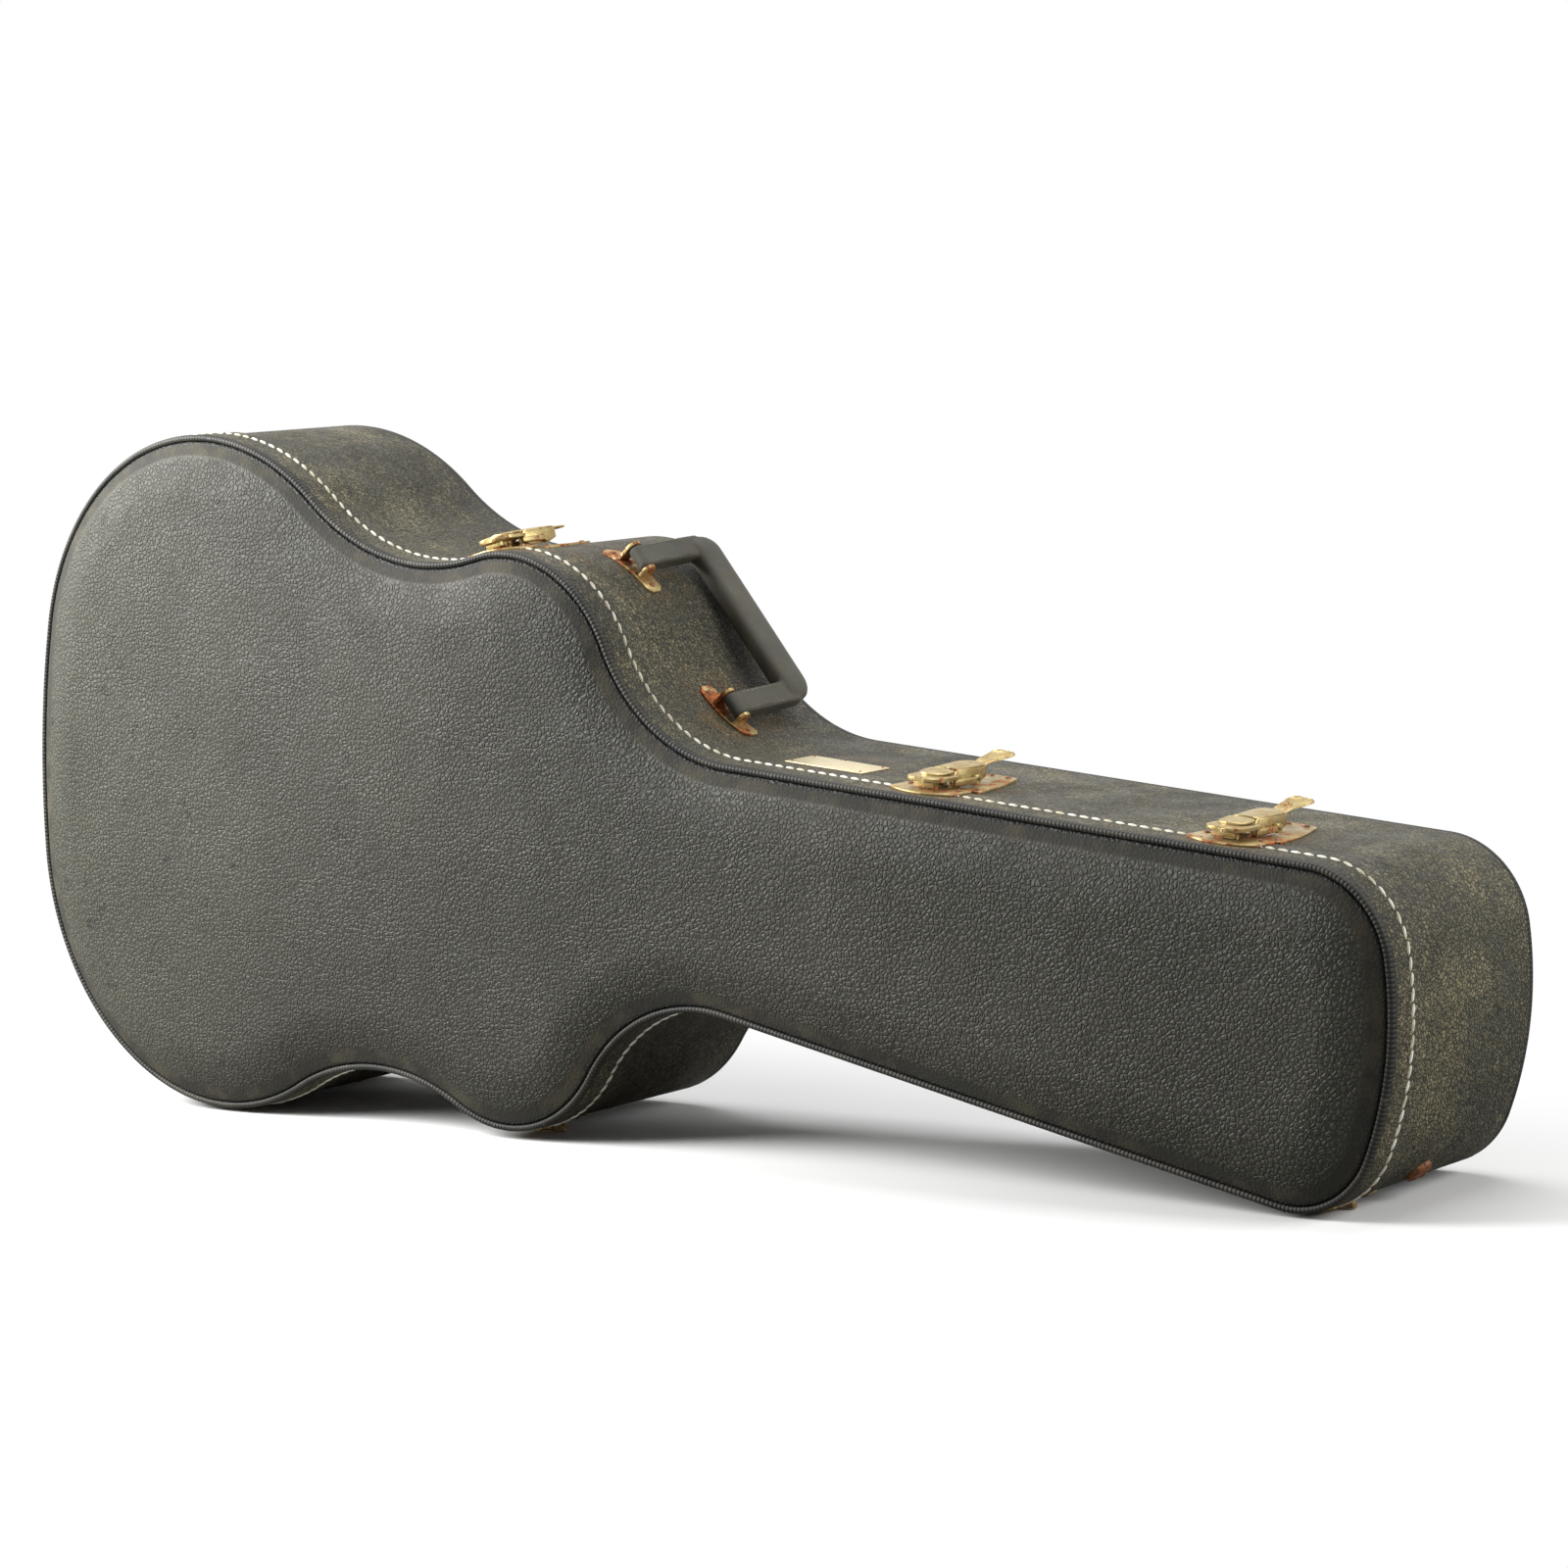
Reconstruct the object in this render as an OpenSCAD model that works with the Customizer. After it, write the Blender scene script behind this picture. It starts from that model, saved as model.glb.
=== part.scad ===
// Hard-shell acoustic guitar case, standing on its hinge side with the lid to the front.
// Case axes: u runs from the tail end to the head end, v runs from the hinge side to the
// handle side, and w is the depth from the lid's front edge to the back edge.
// The case frame is turned about Y so that the lower bout and the head corner share one
// level line, and X, Y, Z of the finished part are along that line, to the back, and up.

/* [Outline] */
// Length from the tail end to the head end
case_len = 1060; // [950:5:1150]
// Half of the width across the lower bout
bout_half = 217.3; // [205:0.5:230]
// Radius of each lower bout corner
bout_r = 161.6; // [150:0.5:170]
// Radius of the flat tail end
tail_r = 600; // [520:5:700]
// Distance from the tail to the middle of the upper bout
shoulder_u = 430; // [420:1:445]
// Height of the upper bout above the line that the lower bout and the head corner stand on
shoulder_gap = 2.9; // [1:0.1:5]
// Radius of each upper bout corner
shoulder_r = 89.4; // [84:0.5:94]
// Radius of the hollow waist
waist_r = 152; // [140:1:165]
// Radius of the hollow between the upper bout and the neck
flare_r = 107; // [98:1:116]
// Distance from the tail to the slim end of the neck part
neck_u = 600; // [590:5:620]
// Half width of the slim end, handle side
neck_top = 76.1; // [72:0.1:80]
// Half width of the slim end, hinge side
neck_low = 71.6; // [68:0.1:76]
// Distance from the wide end of the neck part to the head end
head_in = 60; // [50:5:80]
// Half width of the wide end, handle side
head_top = 88.1; // [84:0.1:92]
// Half width of the wide end, hinge side
head_low = 97.2; // [93:0.1:101]
// Radius of the two head corners
head_r = 53.2; // [46:0.2:60]
// Radius of the head end
end_r = 210; // [190:5:240]

/* [Depth] */
// Depth from the front edge to the back edge, without the crowns
depth = 138.8; // [125:0.1:150]
// Depth of the lid, from the front edge to the parting line
lid_depth = 32.5; // [30:0.1:38]
// Gap between the two rims at the parting line
part_gap = 0.5; // [0.3:0.1:1]
// Rise of the crowned lid and back above their edges
crown = 9; // [5:0.5:14]
// Width of the sloping margin of each crowned panel
margin = 38; // [30:1:42]

/* [Walls] */
// Thickness of the covered plywood rims
rim_wall = 5; // [4:0.1:6]
// Distance from the head end to the joint between the two lengths of the lid's rim
rim_joint_in = 155; // [150:1:160]
// Thickness of the covered plywood panels
panel_wall = 4; // [3:0.1:5]
// How far the lid stands proud of the body all round
rim_step = 1.3; // [0.8:0.1:2]
// Width of the welt round each panel
welt_w = 4; // [3:0.1:4.5]
// Height of the welt above the rim's edge
welt_h = 4.4; // [3.5:0.1:5]
// Gap between a welt and its panel
welt_gap = 0.3; // [0.2:0.05:0.6]
// Thickness of the plush lining
lining = 3; // [2:0.1:4]
// Thickness of the inner lip
lip_wall = 2; // [1.5:0.1:3]
// How far the inner lip reaches into the lid
lip_reach = 7; // [5:0.5:9]
// How far the inner lip reaches down into the body
lip_root = 10; // [8:0.5:14]

/* [Hinges] */
// Height of the lid's lowest line above the ground
stand_h = 2.4; // [2.2:0.1:4]
// Radius of the hinge pins
hinge_pin_r = 1; // [0.8:0.05:1.2]
// Radius of the hinge knuckles
knuckle_r = 1.8; // [1.7:0.05:2]
// Length of one hinge knuckle
knuckle_len = 11; // [9:0.5:13]
// Thickness of the hinge leaves
leaf_wall = 1; // [0.8:0.05:1.2]
// Depth of each hinge leaf along the rim
leaf_d = 18; // [14:0.5:20]
// Running clearance of every pin in its hole
pin_clear = 0.05; // [0.03:0.01:0.08]

/* [Latches] */
// Distance from the latch near the head to the head end
latch_head_in = 121.5; // [115:0.5:135]
// Distance from the tail to the latch on the neck
latch_neck_u = 737; // [725:0.5:760]
// Direction that the upper bout latch faces, from the length axis
latch_bout_turn = 109; // [100:0.5:112]
// Direction that the lower bout latch faces, from the length axis
latch_tail_turn = 161; // [150:1:168]
// Half width of the latch plates
latch_half = 22.5; // [20:0.5:24]
// Half width of the base plate at its middle
base_mid = 18.7; // [17:0.1:20]
// Half width of the base plate's round end
base_end = 11; // [9:0.5:13]
// Distance from the lid's front edge to the catch plate
catch_edge = 7; // [6:0.5:9]
// Distance of the strike's front in front of the parting line
strike_back = 12.8; // [11.5:0.1:13.5]
// Length of the base plate on the body
base_len = 53; // [48:0.5:58]
// Thickness of the latch plates
latch_wall = 1.3; // [1:0.05:1.6]
// Height of the lever's pivot above the body
pivot_h = 6.6; // [6.2:0.1:7.2]
// Distance of the lever's pivot behind the parting line
pivot_back = 6; // [5.5:0.1:7]
// Drop of the bail's pivot below the lever's pivot, which keeps the latch shut
over_centre = 1; // [0.4:0.1:1.4]
// Distance from the lever's pivot to the bail's pivot
throw = 12; // [11:0.5:13]
// Length of the lever from its pivot to its waist
lever_len = 24; // [22:0.5:28]
// Half width of the lever
lever_half = 9; // [8.8:0.1:10]
// Height of the lever's top above the body
lever_top = 13.2; // [12:0.1:14]
// Thickness of the lever's top and tab
lever_wall = 1.6; // [1.2:0.05:2]
// Length of the thumb tab
tab_len = 28; // [22:0.5:30]
// Half width of the thumb tab's end
tab_half = 9.5; // [8:0.1:11]
// Width of each bail arm
bail_arm = 3; // [2.4:0.1:3.6]
// Thickness of the bail
bail_wall = 3; // [2.4:0.1:3.4]
// Radius of the lever and bail pins
latch_pin_r = 1.1; // [0.9:0.05:1.2]

/* [Handle] */
// Direction that the upper handle plate faces, from the length axis
handle_turn_up = 64.6; // [62:0.2:67]
// Direction that the lower handle plate faces, from the length axis
handle_turn_low = 60; // [58:0.2:63]
// Distance from the lid's front edge to the handle pins
handle_w = 66; // [60:0.5:72]
// Length of each handle plate along the rim
plate_len = 46; // [40:0.5:50]
// Width of each handle plate
plate_w = 12.5; // [11:0.1:14]
// Thickness of the handle plates
plate_wall = 1.2; // [1:0.05:1.5]
// Height of the handle pins above the rim
handle_pin_h = 9; // [8.8:0.1:11]
// Radius of the handle pins
handle_pin_r = 1.6; // [1.3:0.05:2]
// Width of each handle arm
arm_w = 15; // [13:0.2:17]
// Thickness of the handle arms
arm_t = 9; // [8:0.2:11]
// Distance from the pins to the outside of the grip
handle_reach = 60; // [52:0.5:64]
// Width of the grip
grip_w = 20; // [17:0.5:24]
// Thickness of the grip
grip_t = 14; // [12:0.2:16]
// Angle of the folded handle above the rim
handle_rise = 5; // [3:0.5:10]

/* [Fittings] */
// Length of the bare name plate
label_len = 57; // [45:0.5:65]
// Width of the bare name plate
label_w = 26; // [20:0.5:30]
// Thickness of the bare name plate
label_wall = 0.8; // [0.6:0.05:1.2]
// Distance from the tail to the middle of the name plate
label_u = 645; // [642:0.5:655]
// Distance from the lid's front edge to the middle of the name plate
label_mid_w = 52; // [50:0.5:60]
// Distance from the front foot to the back foot of each pair
foot_span = 53; // [45:1:58]
// Radius of the round feet
foot_r = 6; // [5:0.1:7]
// Radius of the glide on the head corner
glide_r = 8; // [6:0.5:9]
// Height of the glide on the head corner
glide_h = 2.6; // [2:0.1:4]
// Direction that the glide faces, below the length axis
glide_turn = 43.5; // [35:0.5:60]
// Radius of the rivet heads
rivet_r = 2; // [1.6:0.1:2.4]
// Height of the rivet heads
rivet_h = 0.9; // [0.6:0.05:1.2]

/* [Inside] */
// Distance from the tail to the wall of the accessory box
box_u = 605; // [600:1:620]
// Length of the accessory box
box_len = 140; // [120:1:160]
// Height of the accessory box above the back lining
box_h = 52; // [44:1:54]
// Thickness of the accessory box walls
box_wall = 6; // [4:0.5:8]
// Distance of the flap's hinge line below the middle line
flap_line = 5; // [0:0.5:10]
// Thickness of the accessory box flap and shelf
flap_wall = 4; // [4:0.1:5]
// Half width of the notch that the neck lies in
notch_half = 32; // [28:0.5:36]
// Depth of the notch that the neck lies in
notch_d = 14; // [10:0.5:18]
// Distance from the neck rest to the head end
rest_in = 210; // [180:5:230]
// Length of the neck rest
rest_len = 40; // [30:1:60]

/* [Hidden] */

// Degrees of turn between two points of an arc: on the rims, and on the crowned panels
arc_step = 4;
panel_step = 6;
// Segments of small round pieces
round_fn = 48;
// Segments of the rounded ends that are only trim
trim_fn = 32;
// Thin overlap that joins a piece to its own other parts
joint_in = 0.2;

function unit(a) = a / norm(a);
function turn_of(a) = atan2(a[1], a[0]);
function along(turn) = [cos(turn), sin(turn)];
function flip(p) = [p[0], -p[1]];

// Centres of the arcs of one half. The handle side has v above zero, and the hinge side
// is worked out as if it did too.
bout_v = bout_half - bout_r;
bout_c = [tail_r - sqrt(pow(tail_r - bout_r, 2) - pow(bout_v, 2)), bout_v];
tail_c = [tail_r, 0];
end_c = [case_len - end_r, 0];
head_u = case_len - head_in;
rim_joint_u = case_len - rim_joint_in;
latch_head_u = case_len - latch_head_in;
rest_u = case_len - rest_in;
// The centre that lies at distance ra from a and rb from b, on the left of the way from a to b
function meet(a, ra, b, rb) =
    let (d = norm(b - a), e = (b - a) / d, s = (ra * ra - rb * rb + d * d) / (2 * d),
         h = sqrt(ra * ra - s * s))
    a + e * s + [-e[1], e[0]] * h;
// Straight side of the neck part: its slope, its outward direction and a point on it
function side_slope(slim, wide) = (wide - slim) / (head_u - neck_u);
function side_out(slim, wide) = unit([-side_slope(slim, wide), 1]);
function side_dir(slim, wide) = unit([1, side_slope(slim, wide)]);
// The circle centre at distance gap outside the side and at distance r from c, the later one
function beside(slim, wide, gap, c, r) =
    let (q = [neck_u, slim] + side_out(slim, wide) * gap, d = side_dir(slim, wide),
         b = (q - c) * d, k = (q - c) * (q - c) - r * r)
    q + d * (-b + sqrt(b * b - k));
function corner_c(slim, wide) = beside(slim, wide, -head_r, end_c, end_r - head_r);

// The case is turned so that the lower bout and the head corner stand on one level line
low_bout_c = flip(bout_c);
low_corner_c = flip(corner_c(neck_low, head_low));
level_way = low_corner_c - low_bout_c;
tilt = turn_of(level_way) + asin((bout_r - head_r) / norm(level_way));
function turned(p) = [p[0] * cos(tilt) + p[1] * sin(tilt), p[1] * cos(tilt) - p[0] * sin(tilt)];
lift = stand_h + bout_r - turned(low_bout_c)[1];

// The upper bout clears that line by its own gap, and is as wide on the handle side
shoulder_v = (bout_r - turned(low_bout_c)[1] - shoulder_gap - shoulder_r
    - shoulder_u * sin(tilt)) / cos(tilt);
shoulder_c = [shoulder_u, shoulder_v];
waist_c = meet(bout_c, bout_r + waist_r, shoulder_c, shoulder_r + waist_r);
function flare_c(slim, wide) =
    beside(slim, wide, flare_r, shoulder_c, shoulder_r + flare_r);

// Arcs of one half from the tail to the head: centre, radius with its sign (a hollow is
// negative), the outward directions at the arc's start and end, and whether the straight
// side follows it
function half_arcs(slim, wide) =
    let (f = flare_c(slim, wide), c = corner_c(slim, wide), a = turn_of(side_out(slim, wide)))
    [[tail_c, tail_r, 180, turn_of(bout_c - tail_c), false],
     [bout_c, bout_r, turn_of(bout_c - tail_c), turn_of(waist_c - bout_c), false],
     [waist_c, -waist_r, turn_of(waist_c - bout_c), turn_of(waist_c - shoulder_c), false],
     [shoulder_c, shoulder_r, turn_of(waist_c - shoulder_c), turn_of(f - shoulder_c), false],
     [f, -flare_r, turn_of(f - shoulder_c), a, true],
     [c, head_r, a, turn_of(c - end_c), false],
     [end_c, end_r, turn_of(c - end_c), 0, false]];
// Points of one arc, set in by a distance. Its last point is the next arc's first one, unless
// the straight side lies between them.
function arc_points(arc, inset, step) =
    let (n = max(2, ceil(abs(arc[3] - arc[2]) / step)))
    [for (i = [0:arc[4] ? n : n - 1])
        arc[0] + (arc[1] - inset) * along(arc[2] + (arc[3] - arc[2]) * i / n)];
function half_points(slim, wide, inset, step) =
    [for (arc = half_arcs(slim, wide)) each arc_points(arc, inset, step)];
// The whole outline of the case, set in by a distance, or grown where it is negative
function outline(inset, step = arc_step) =
    let (top = half_points(neck_top, head_top, inset, step),
         low = half_points(neck_low, head_low, inset, step), n = len(low))
    concat(top, [[case_len - inset, 0]], [for (i = [1:n - 1]) flip(low[n - i])]);

rim_points = [for (p = outline(0)) turned(p)[0]];
mid_x = (min(rim_points) + max(rim_points)) / 2;
// A point of the case, by u and v, in the finished part's X and Z
function placed(p) = turned(p) + [-mid_x, lift];

split_y = lid_depth - depth / 2;
lid_edge = lid_depth - part_gap / 2;
body_edge = lid_depth + part_gap / 2;
back_edge = depth - welt_h;
body_in = rim_step + rim_wall;

// Turns what is built in case axes so that it stands on its hinge side
module stand() {
    translate([-mid_x, 0, lift])
        rotate([0, tilt, 0])
            children();
}

// An outline shape from one depth to another
module slab(points, w0, w1) {
    translate([0, w1 - depth / 2, 0])
        rotate([90, 0, 0])
            linear_extrude(w1 - w0)
                polygon(points);
}

// A band that follows the outline between two insets
module band(inset_out, inset_in, w0, w1) {
    translate([0, w1 - depth / 2, 0])
        rotate([90, 0, 0])
            linear_extrude(w1 - w0)
                difference() {
                    polygon(outline(inset_out));
                    polygon(outline(inset_in));
                }
}

// Rise of a crowned panel at a distance from its edge
function crown_at(d) = d >= margin ? crown : crown * sin(90 * d / margin);
// Shares of the margin at which the outer and the inner skin have a ring of points
outer_steps = [0, 0.15, 0.35, 0.65, 1];
inner_steps = [0, 0.35, 1];
// A ring of a crowned panel, at a share of the margin
function ring(edge_in, share, down) =
    [for (p = outline(edge_in + share * margin, panel_step))
        [p[0], p[1], crown_at(share * margin) - down]];
// Quads between ring a and ring b, each with n points
function quads(a, b, n) =
    [for (i = [0:n - 1]) [a * n + i, a * n + (i + 1) % n, b * n + (i + 1) % n, b * n + i]];
// A crowned panel as a shell: z is the rise to the outside, and the edge's outer side is at
// z = 0. The edge's inner side is one wall below.
module crowned_panel(edge_in) {
    outer = [for (share = outer_steps) ring(edge_in, share, 0)];
    inner = [for (share = inner_steps) ring(edge_in, share, panel_wall)];
    m = len(outer);
    last = m + len(inner) - 1;
    n = len(outer[0]);
    polyhedron(points = [for (r = concat(outer, inner)) each r], faces = concat(
        [[for (i = [0:n - 1]) (m - 1) * n + i]],
        [for (k = [0:m - 2]) each quads(k, k + 1, n)],
        quads(m, 0, n),
        [for (k = [m:last - 1]) each quads(k + 1, k, n)],
        [[for (i = [0:n - 1]) last * n + n - 1 - i]]));
}

// Rise of the panel's edge face above the rim's edge face, under the welt's top
panel_edge_h = panel_wall;
panel_in = welt_w + welt_gap;

module lid_panel() {
    color([0.25, 0.25, 0.24])
        stand()
            translate([0, welt_h - panel_edge_h - depth / 2, 0])
                rotate([90, 0, 0])
                    crowned_panel(panel_in);
}

module back_panel() {
    color([0.25, 0.25, 0.24])
        stand()
            translate([0, depth / 2 - welt_h + panel_edge_h, 0])
                mirror([0, 1, 0])
                    rotate([90, 0, 0])
                        crowned_panel(panel_in + rim_step);
}

// One length of the lid's rim, between two places along the case
module lid_rim_length(u0, u1) {
    color([0.27, 0.27, 0.25])
        difference() {
            stand()
                intersection() {
                    band(0, rim_wall, welt_h, lid_edge);
                    translate([u0, -depth, -bout_half])
                        cube([u1 - u0, 2 * depth, 2 * bout_half]);
                }
            knuckle_seats();
        }
}

module lid_rim() lid_rim_length(-1, rim_joint_u);

module lid_rim_head() lid_rim_length(rim_joint_u, case_len + 1);

module body_rim() {
    color([0.33, 0.33, 0.29])
        difference() {
            stand() band(rim_step, body_in, body_edge, back_edge);
            knuckle_seats();
        }
}

module lid_welt() {
    color([0.14, 0.14, 0.13])
        stand() band(0, welt_w, 0, welt_h);
}

module back_welt() {
    color([0.14, 0.14, 0.13])
        stand() band(rim_step, rim_step + welt_w, back_edge, depth);
}

module body_lip() {
    color([0.3, 0.06, 0.08])
        stand() band(body_in, body_in + lip_wall, lid_depth - lip_reach, lid_depth + lip_root);
}

// Plush of the body: a wall all round and a flat floor
body_floor = back_edge - lining;
module body_lining() {
    color([0.36, 0.07, 0.1])
        stand() {
            band(body_in, body_in + lining, lid_depth + lip_root, body_floor);
            slab(outline(body_in), body_floor, back_edge);
        }
}

// Plush of the lid: a short wall that stops clear of the lip, and a flat ceiling
lid_ceiling = welt_h + lining;
lip_clear = 1;
module lid_lining() {
    color([0.36, 0.07, 0.1])
        stand() {
            band(rim_wall, rim_wall + lining, lid_ceiling, lid_depth - lip_reach - lip_clear);
            slab(outline(rim_wall), welt_h, lid_ceiling);
        }
}

// ---- accessory box and neck rest ----
// Clear gap between the lined walls and what stands inside them
wall_clear = 0.5;
// Gap round the moving flap
flap_gap = 1;
inner_in = body_in + lining + wall_clear;
box_top = body_floor - box_h;
box_end = box_u + box_len;

// What lies between two distances from the tail, inside the lined walls
module inside_block(inset, u0, u1, w0, w1) {
    intersection() {
        slab(outline(inset), w0, w1);
        translate([u0, -depth, -bout_half])
            cube([u1 - u0, 2 * depth, 2 * bout_half]);
    }
}

// A cross wall with a round notch that the neck lies in
module cradle(u0, u1) {
    w0 = box_top - notch_d;
    difference() {
        inside_block(inner_in, u0, u1, w0, body_floor);
        translate([u0 - 1, box_top - notch_half - depth / 2, 0])
            rotate([0, 90, 0])
                cylinder(r = notch_half, h = u1 - u0 + 2, $fn = round_fn);
    }
}

module box_wall_bout() {
    color([0.36, 0.07, 0.1])
        stand() cradle(box_u - box_wall, box_u);
}

module box_wall_head() {
    color([0.36, 0.07, 0.1])
        stand() cradle(box_end, box_end + box_wall);
}

module neck_rest() {
    color([0.36, 0.07, 0.1])
        stand() cradle(rest_u, rest_u + rest_len);
}

// The flap turns on a row of knuckles, on one thin pin along the shelf's edge
flap_pin_r = 0.8;
flap_knuckle_r = flap_wall / 2;
flap_w = box_top + flap_knuckle_r;
flap_v = -flap_line;
flap_root = flap_knuckle_r + flap_gap;
flap_count = 7;
flap_pitch = box_len / flap_count;
flap_side = 0.25;

// A round bar along the flap's hinge line
module flap_bar(r, u0, u1) {
    translate([u0, flap_w - depth / 2, flap_v])
        rotate([0, 90, 0])
            cylinder(r = r, h = u1 - u0, $fn = round_fn);
}

// Every second knuckle, each with a web to its leaf on the side of side's sign
module flap_knuckles(first, side) {
    web = flap_root + joint_in;
    for (i = [first:2:flap_count - 1]) {
        u = box_u + i * flap_pitch + flap_side;
        flap_bar(flap_knuckle_r, u, u + flap_pitch - 2 * flap_side);
        translate([u, flap_w - depth / 2, side > 0 ? flap_v : flap_v - web])
            cube([flap_pitch - 2 * flap_side, flap_knuckle_r, web]);
    }
}

// A leaf above or below the hinge line, clear of the knuckles, and its own knuckles
module flap_leaf(inset, u0, u1, first, side) {
    difference() {
        union() {
            intersection() {
                inside_block(inset, u0, u1, box_top, box_top + flap_wall);
                translate([0, -depth, side > 0 ? flap_v + flap_root
                        : flap_v - flap_root - bout_half])
                    cube([case_len, 2 * depth, bout_half]);
            }
            flap_knuckles(first, side);
        }
        flap_bar(flap_pin_r + pin_clear, u0 - 1, u1 + 1);
    }
}

module box_shelf() {
    color([0.36, 0.07, 0.1])
        stand() flap_leaf(inner_in, box_u, box_end, 0, 1);
}

module box_flap() {
    color([0.36, 0.07, 0.1])
        stand() flap_leaf(inner_in + flap_gap, box_u + flap_gap, box_end - flap_gap, 1, -1);
}

module box_pin() {
    color("silver")
        stand() flap_bar(flap_pin_r, box_u + flap_side, box_end - flap_side);
}

// Leather tab on the flap, near its free edge
pull_r = 7;
pull_len = 18;
pull_wall = 1.6;
pull_edge = 3;
module flap_pull() {
    mid = box_u + box_len / 2;
    low = inner_in + flap_gap + pull_edge - neck_at_low(mid);
    color([0.2, 0.13, 0.08])
        stand()
            translate([mid, box_top - depth / 2, low + pull_r])
                rotate([90, 0, 0])
                    linear_extrude(pull_wall)
                        polygon(concat([[pull_r, pull_len - pull_r], [-pull_r, pull_len - pull_r]],
                            round_corner([0, 0], pull_r, 180, 360)));
}

// ---- places on the rims ----
// Slope lines of the two neck sides
function neck_at_top(u) = neck_top + (u - neck_u) * side_slope(neck_top, head_top);
function neck_at_low(u) = neck_low + (u - neck_u) * side_slope(neck_low, head_low);

// Points of a round corner about c
corner_steps = 6;
function round_corner(c, r, from, to) =
    [for (i = [0:corner_steps]) c + r * along(from + (to - from) * i / corner_steps)];

// A place is its point on the lid's outline, the direction that it faces, and the radius of
// the rim there, which is zero where the rim is straight
function on_arc(c, r, turn) = [c + r * along(turn), turn, r];
function on_neck(u) = [[u, neck_at_top(u)], turn_of(side_out(neck_top, head_top)), 0];
// The place at distance s further along the rim
function shift(place, s) = place[2] == 0
    ? [place[0] + s * along(place[1] - 90), place[1], 0]
    : on_arc(place[0] - place[2] * along(place[1]), place[2],
        place[1] - s / place[2] * 180 / PI);

// Frame of a place: x runs along the rim, y to the back and z outwards from the lid's outline
module at_place(place, w) {
    translate([place[0][0], w - depth / 2, place[0][1]])
        rotate([0, 90 - place[1], 0])
            children();
}

// A thin plate that follows the rim, of the shape drawn in the place's x and y
wrap_reach = 12;
module wrapped(place, w, inset, wall) {
    intersection() {
        band(inset - wall, inset, 0, depth);
        at_place(place, w)
            translate([0, 0, -wrap_reach])
                linear_extrude(2 * wrap_reach)
                    children();
    }
}

// A round bar, or a hole, across a place's frame from x0 to x1
module bar_across(x0, x1, y, z, r) {
    translate([x0, y, z])
        rotate([0, 90, 0])
            cylinder(r = r, h = x1 - x0, $fn = round_fn);
}

// A shape drawn in a place's y and z, from x0 to x1
module shape_across(x0, x1) {
    translate([x0, 0, 0])
        rotate([90, 0, 90])
            linear_extrude(x1 - x0)
                children();
}

// A rivet whose head sits at z = 0
rivet_shank = 3;
module rivet(r, h) {
    rotate_extrude($fn = trim_fn)
        polygon(concat([[0, -rivet_shank], [r / 2, -rivet_shank], [r / 2, 0]],
            [for (i = [0:4]) [r * cos(18 * i), h * sin(18 * i)]], [[0, h]]));
}

// Rivets through a plate, at spots [distance along the rim, distance behind w]
module rivets(place, w, inset, wall, spots) {
    for (spot = spots)
        at_place(shift(place, spot[0]), w + spot[1])
            translate([0, 0, wall - inset])
                rivet(rivet_r, rivet_h);
}

// ---- hinges ----
axis_z = stand_h - 0.2;
knuckle_gap = 0.2;
leaf_gap = 0.7;
tongue_gap = 0.4;
seat_gap = 0.5;
leaf_near = knuckle_r + leaf_gap;
hinge_len = 3 * knuckle_len + 2 * knuckle_gap;
down_turn = tilt - 90;
hinge_places = [on_arc(low_bout_c, bout_r, down_turn),
    on_arc(flip(shoulder_c), shoulder_r, down_turn), on_arc(low_corner_c, head_r, down_turn)];
function hinge_x(place) = placed(place[0])[0];
function rim_center(place) = placed(place[0] - place[2] * along(place[1]));

// Places of the three knuckles, counted from the middle one
function knuckle_list(on_body) = on_body ? [0] : [-1, 1];

// A round bar along the hinge axis, about the middle of a hinge
module hinge_bar(place, r, len) {
    translate([hinge_x(place), split_y, axis_z])
        rotate([0, 90, 0])
            cylinder(r = r, h = len, center = true, $fn = round_fn);
}

// Seats for the hinge knuckles in both rims
module knuckle_seats() {
    for (place = hinge_places)
        hinge_bar(place, knuckle_r + seat_gap, hinge_len + 2 * seat_gap);
}

// A leaf that follows the rim, with knuckles: the middle one on the body, the others on the lid
module hinge_leaf(place, on_body) {
    inset = on_body ? rim_step : 0;
    near = lid_depth + (on_body ? leaf_near : -leaf_near - leaf_d);
    x = hinge_x(place);
    low = min(axis_z, rim_center(place)[1] - place[2] + inset - leaf_wall);
    difference() {
        union() {
            difference() {
                union() {
                    intersection() {
                        stand() slab(outline(inset - leaf_wall), near, near + leaf_d);
                        translate([x - hinge_len / 2, -depth, low - leaf_d])
                            cube([hinge_len, 2 * depth, 3 * leaf_d]);
                    }
                    for (i = knuckle_list(on_body))
                        translate([x + i * (knuckle_len + knuckle_gap) - knuckle_len / 2,
                                split_y + (on_body ? tongue_gap : -leaf_near - joint_in), low])
                            cube([knuckle_len, leaf_near + joint_in - tongue_gap, leaf_d]);
                }
                stand() slab(outline(inset), -depth, 2 * depth);
            }
            for (i = knuckle_list(on_body))
                translate([i * (knuckle_len + knuckle_gap), 0, 0])
                    hinge_bar(place, knuckle_r, knuckle_len);
        }
        hinge_bar(place, hinge_pin_r + pin_clear, hinge_len + 2);
    }
}

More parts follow.
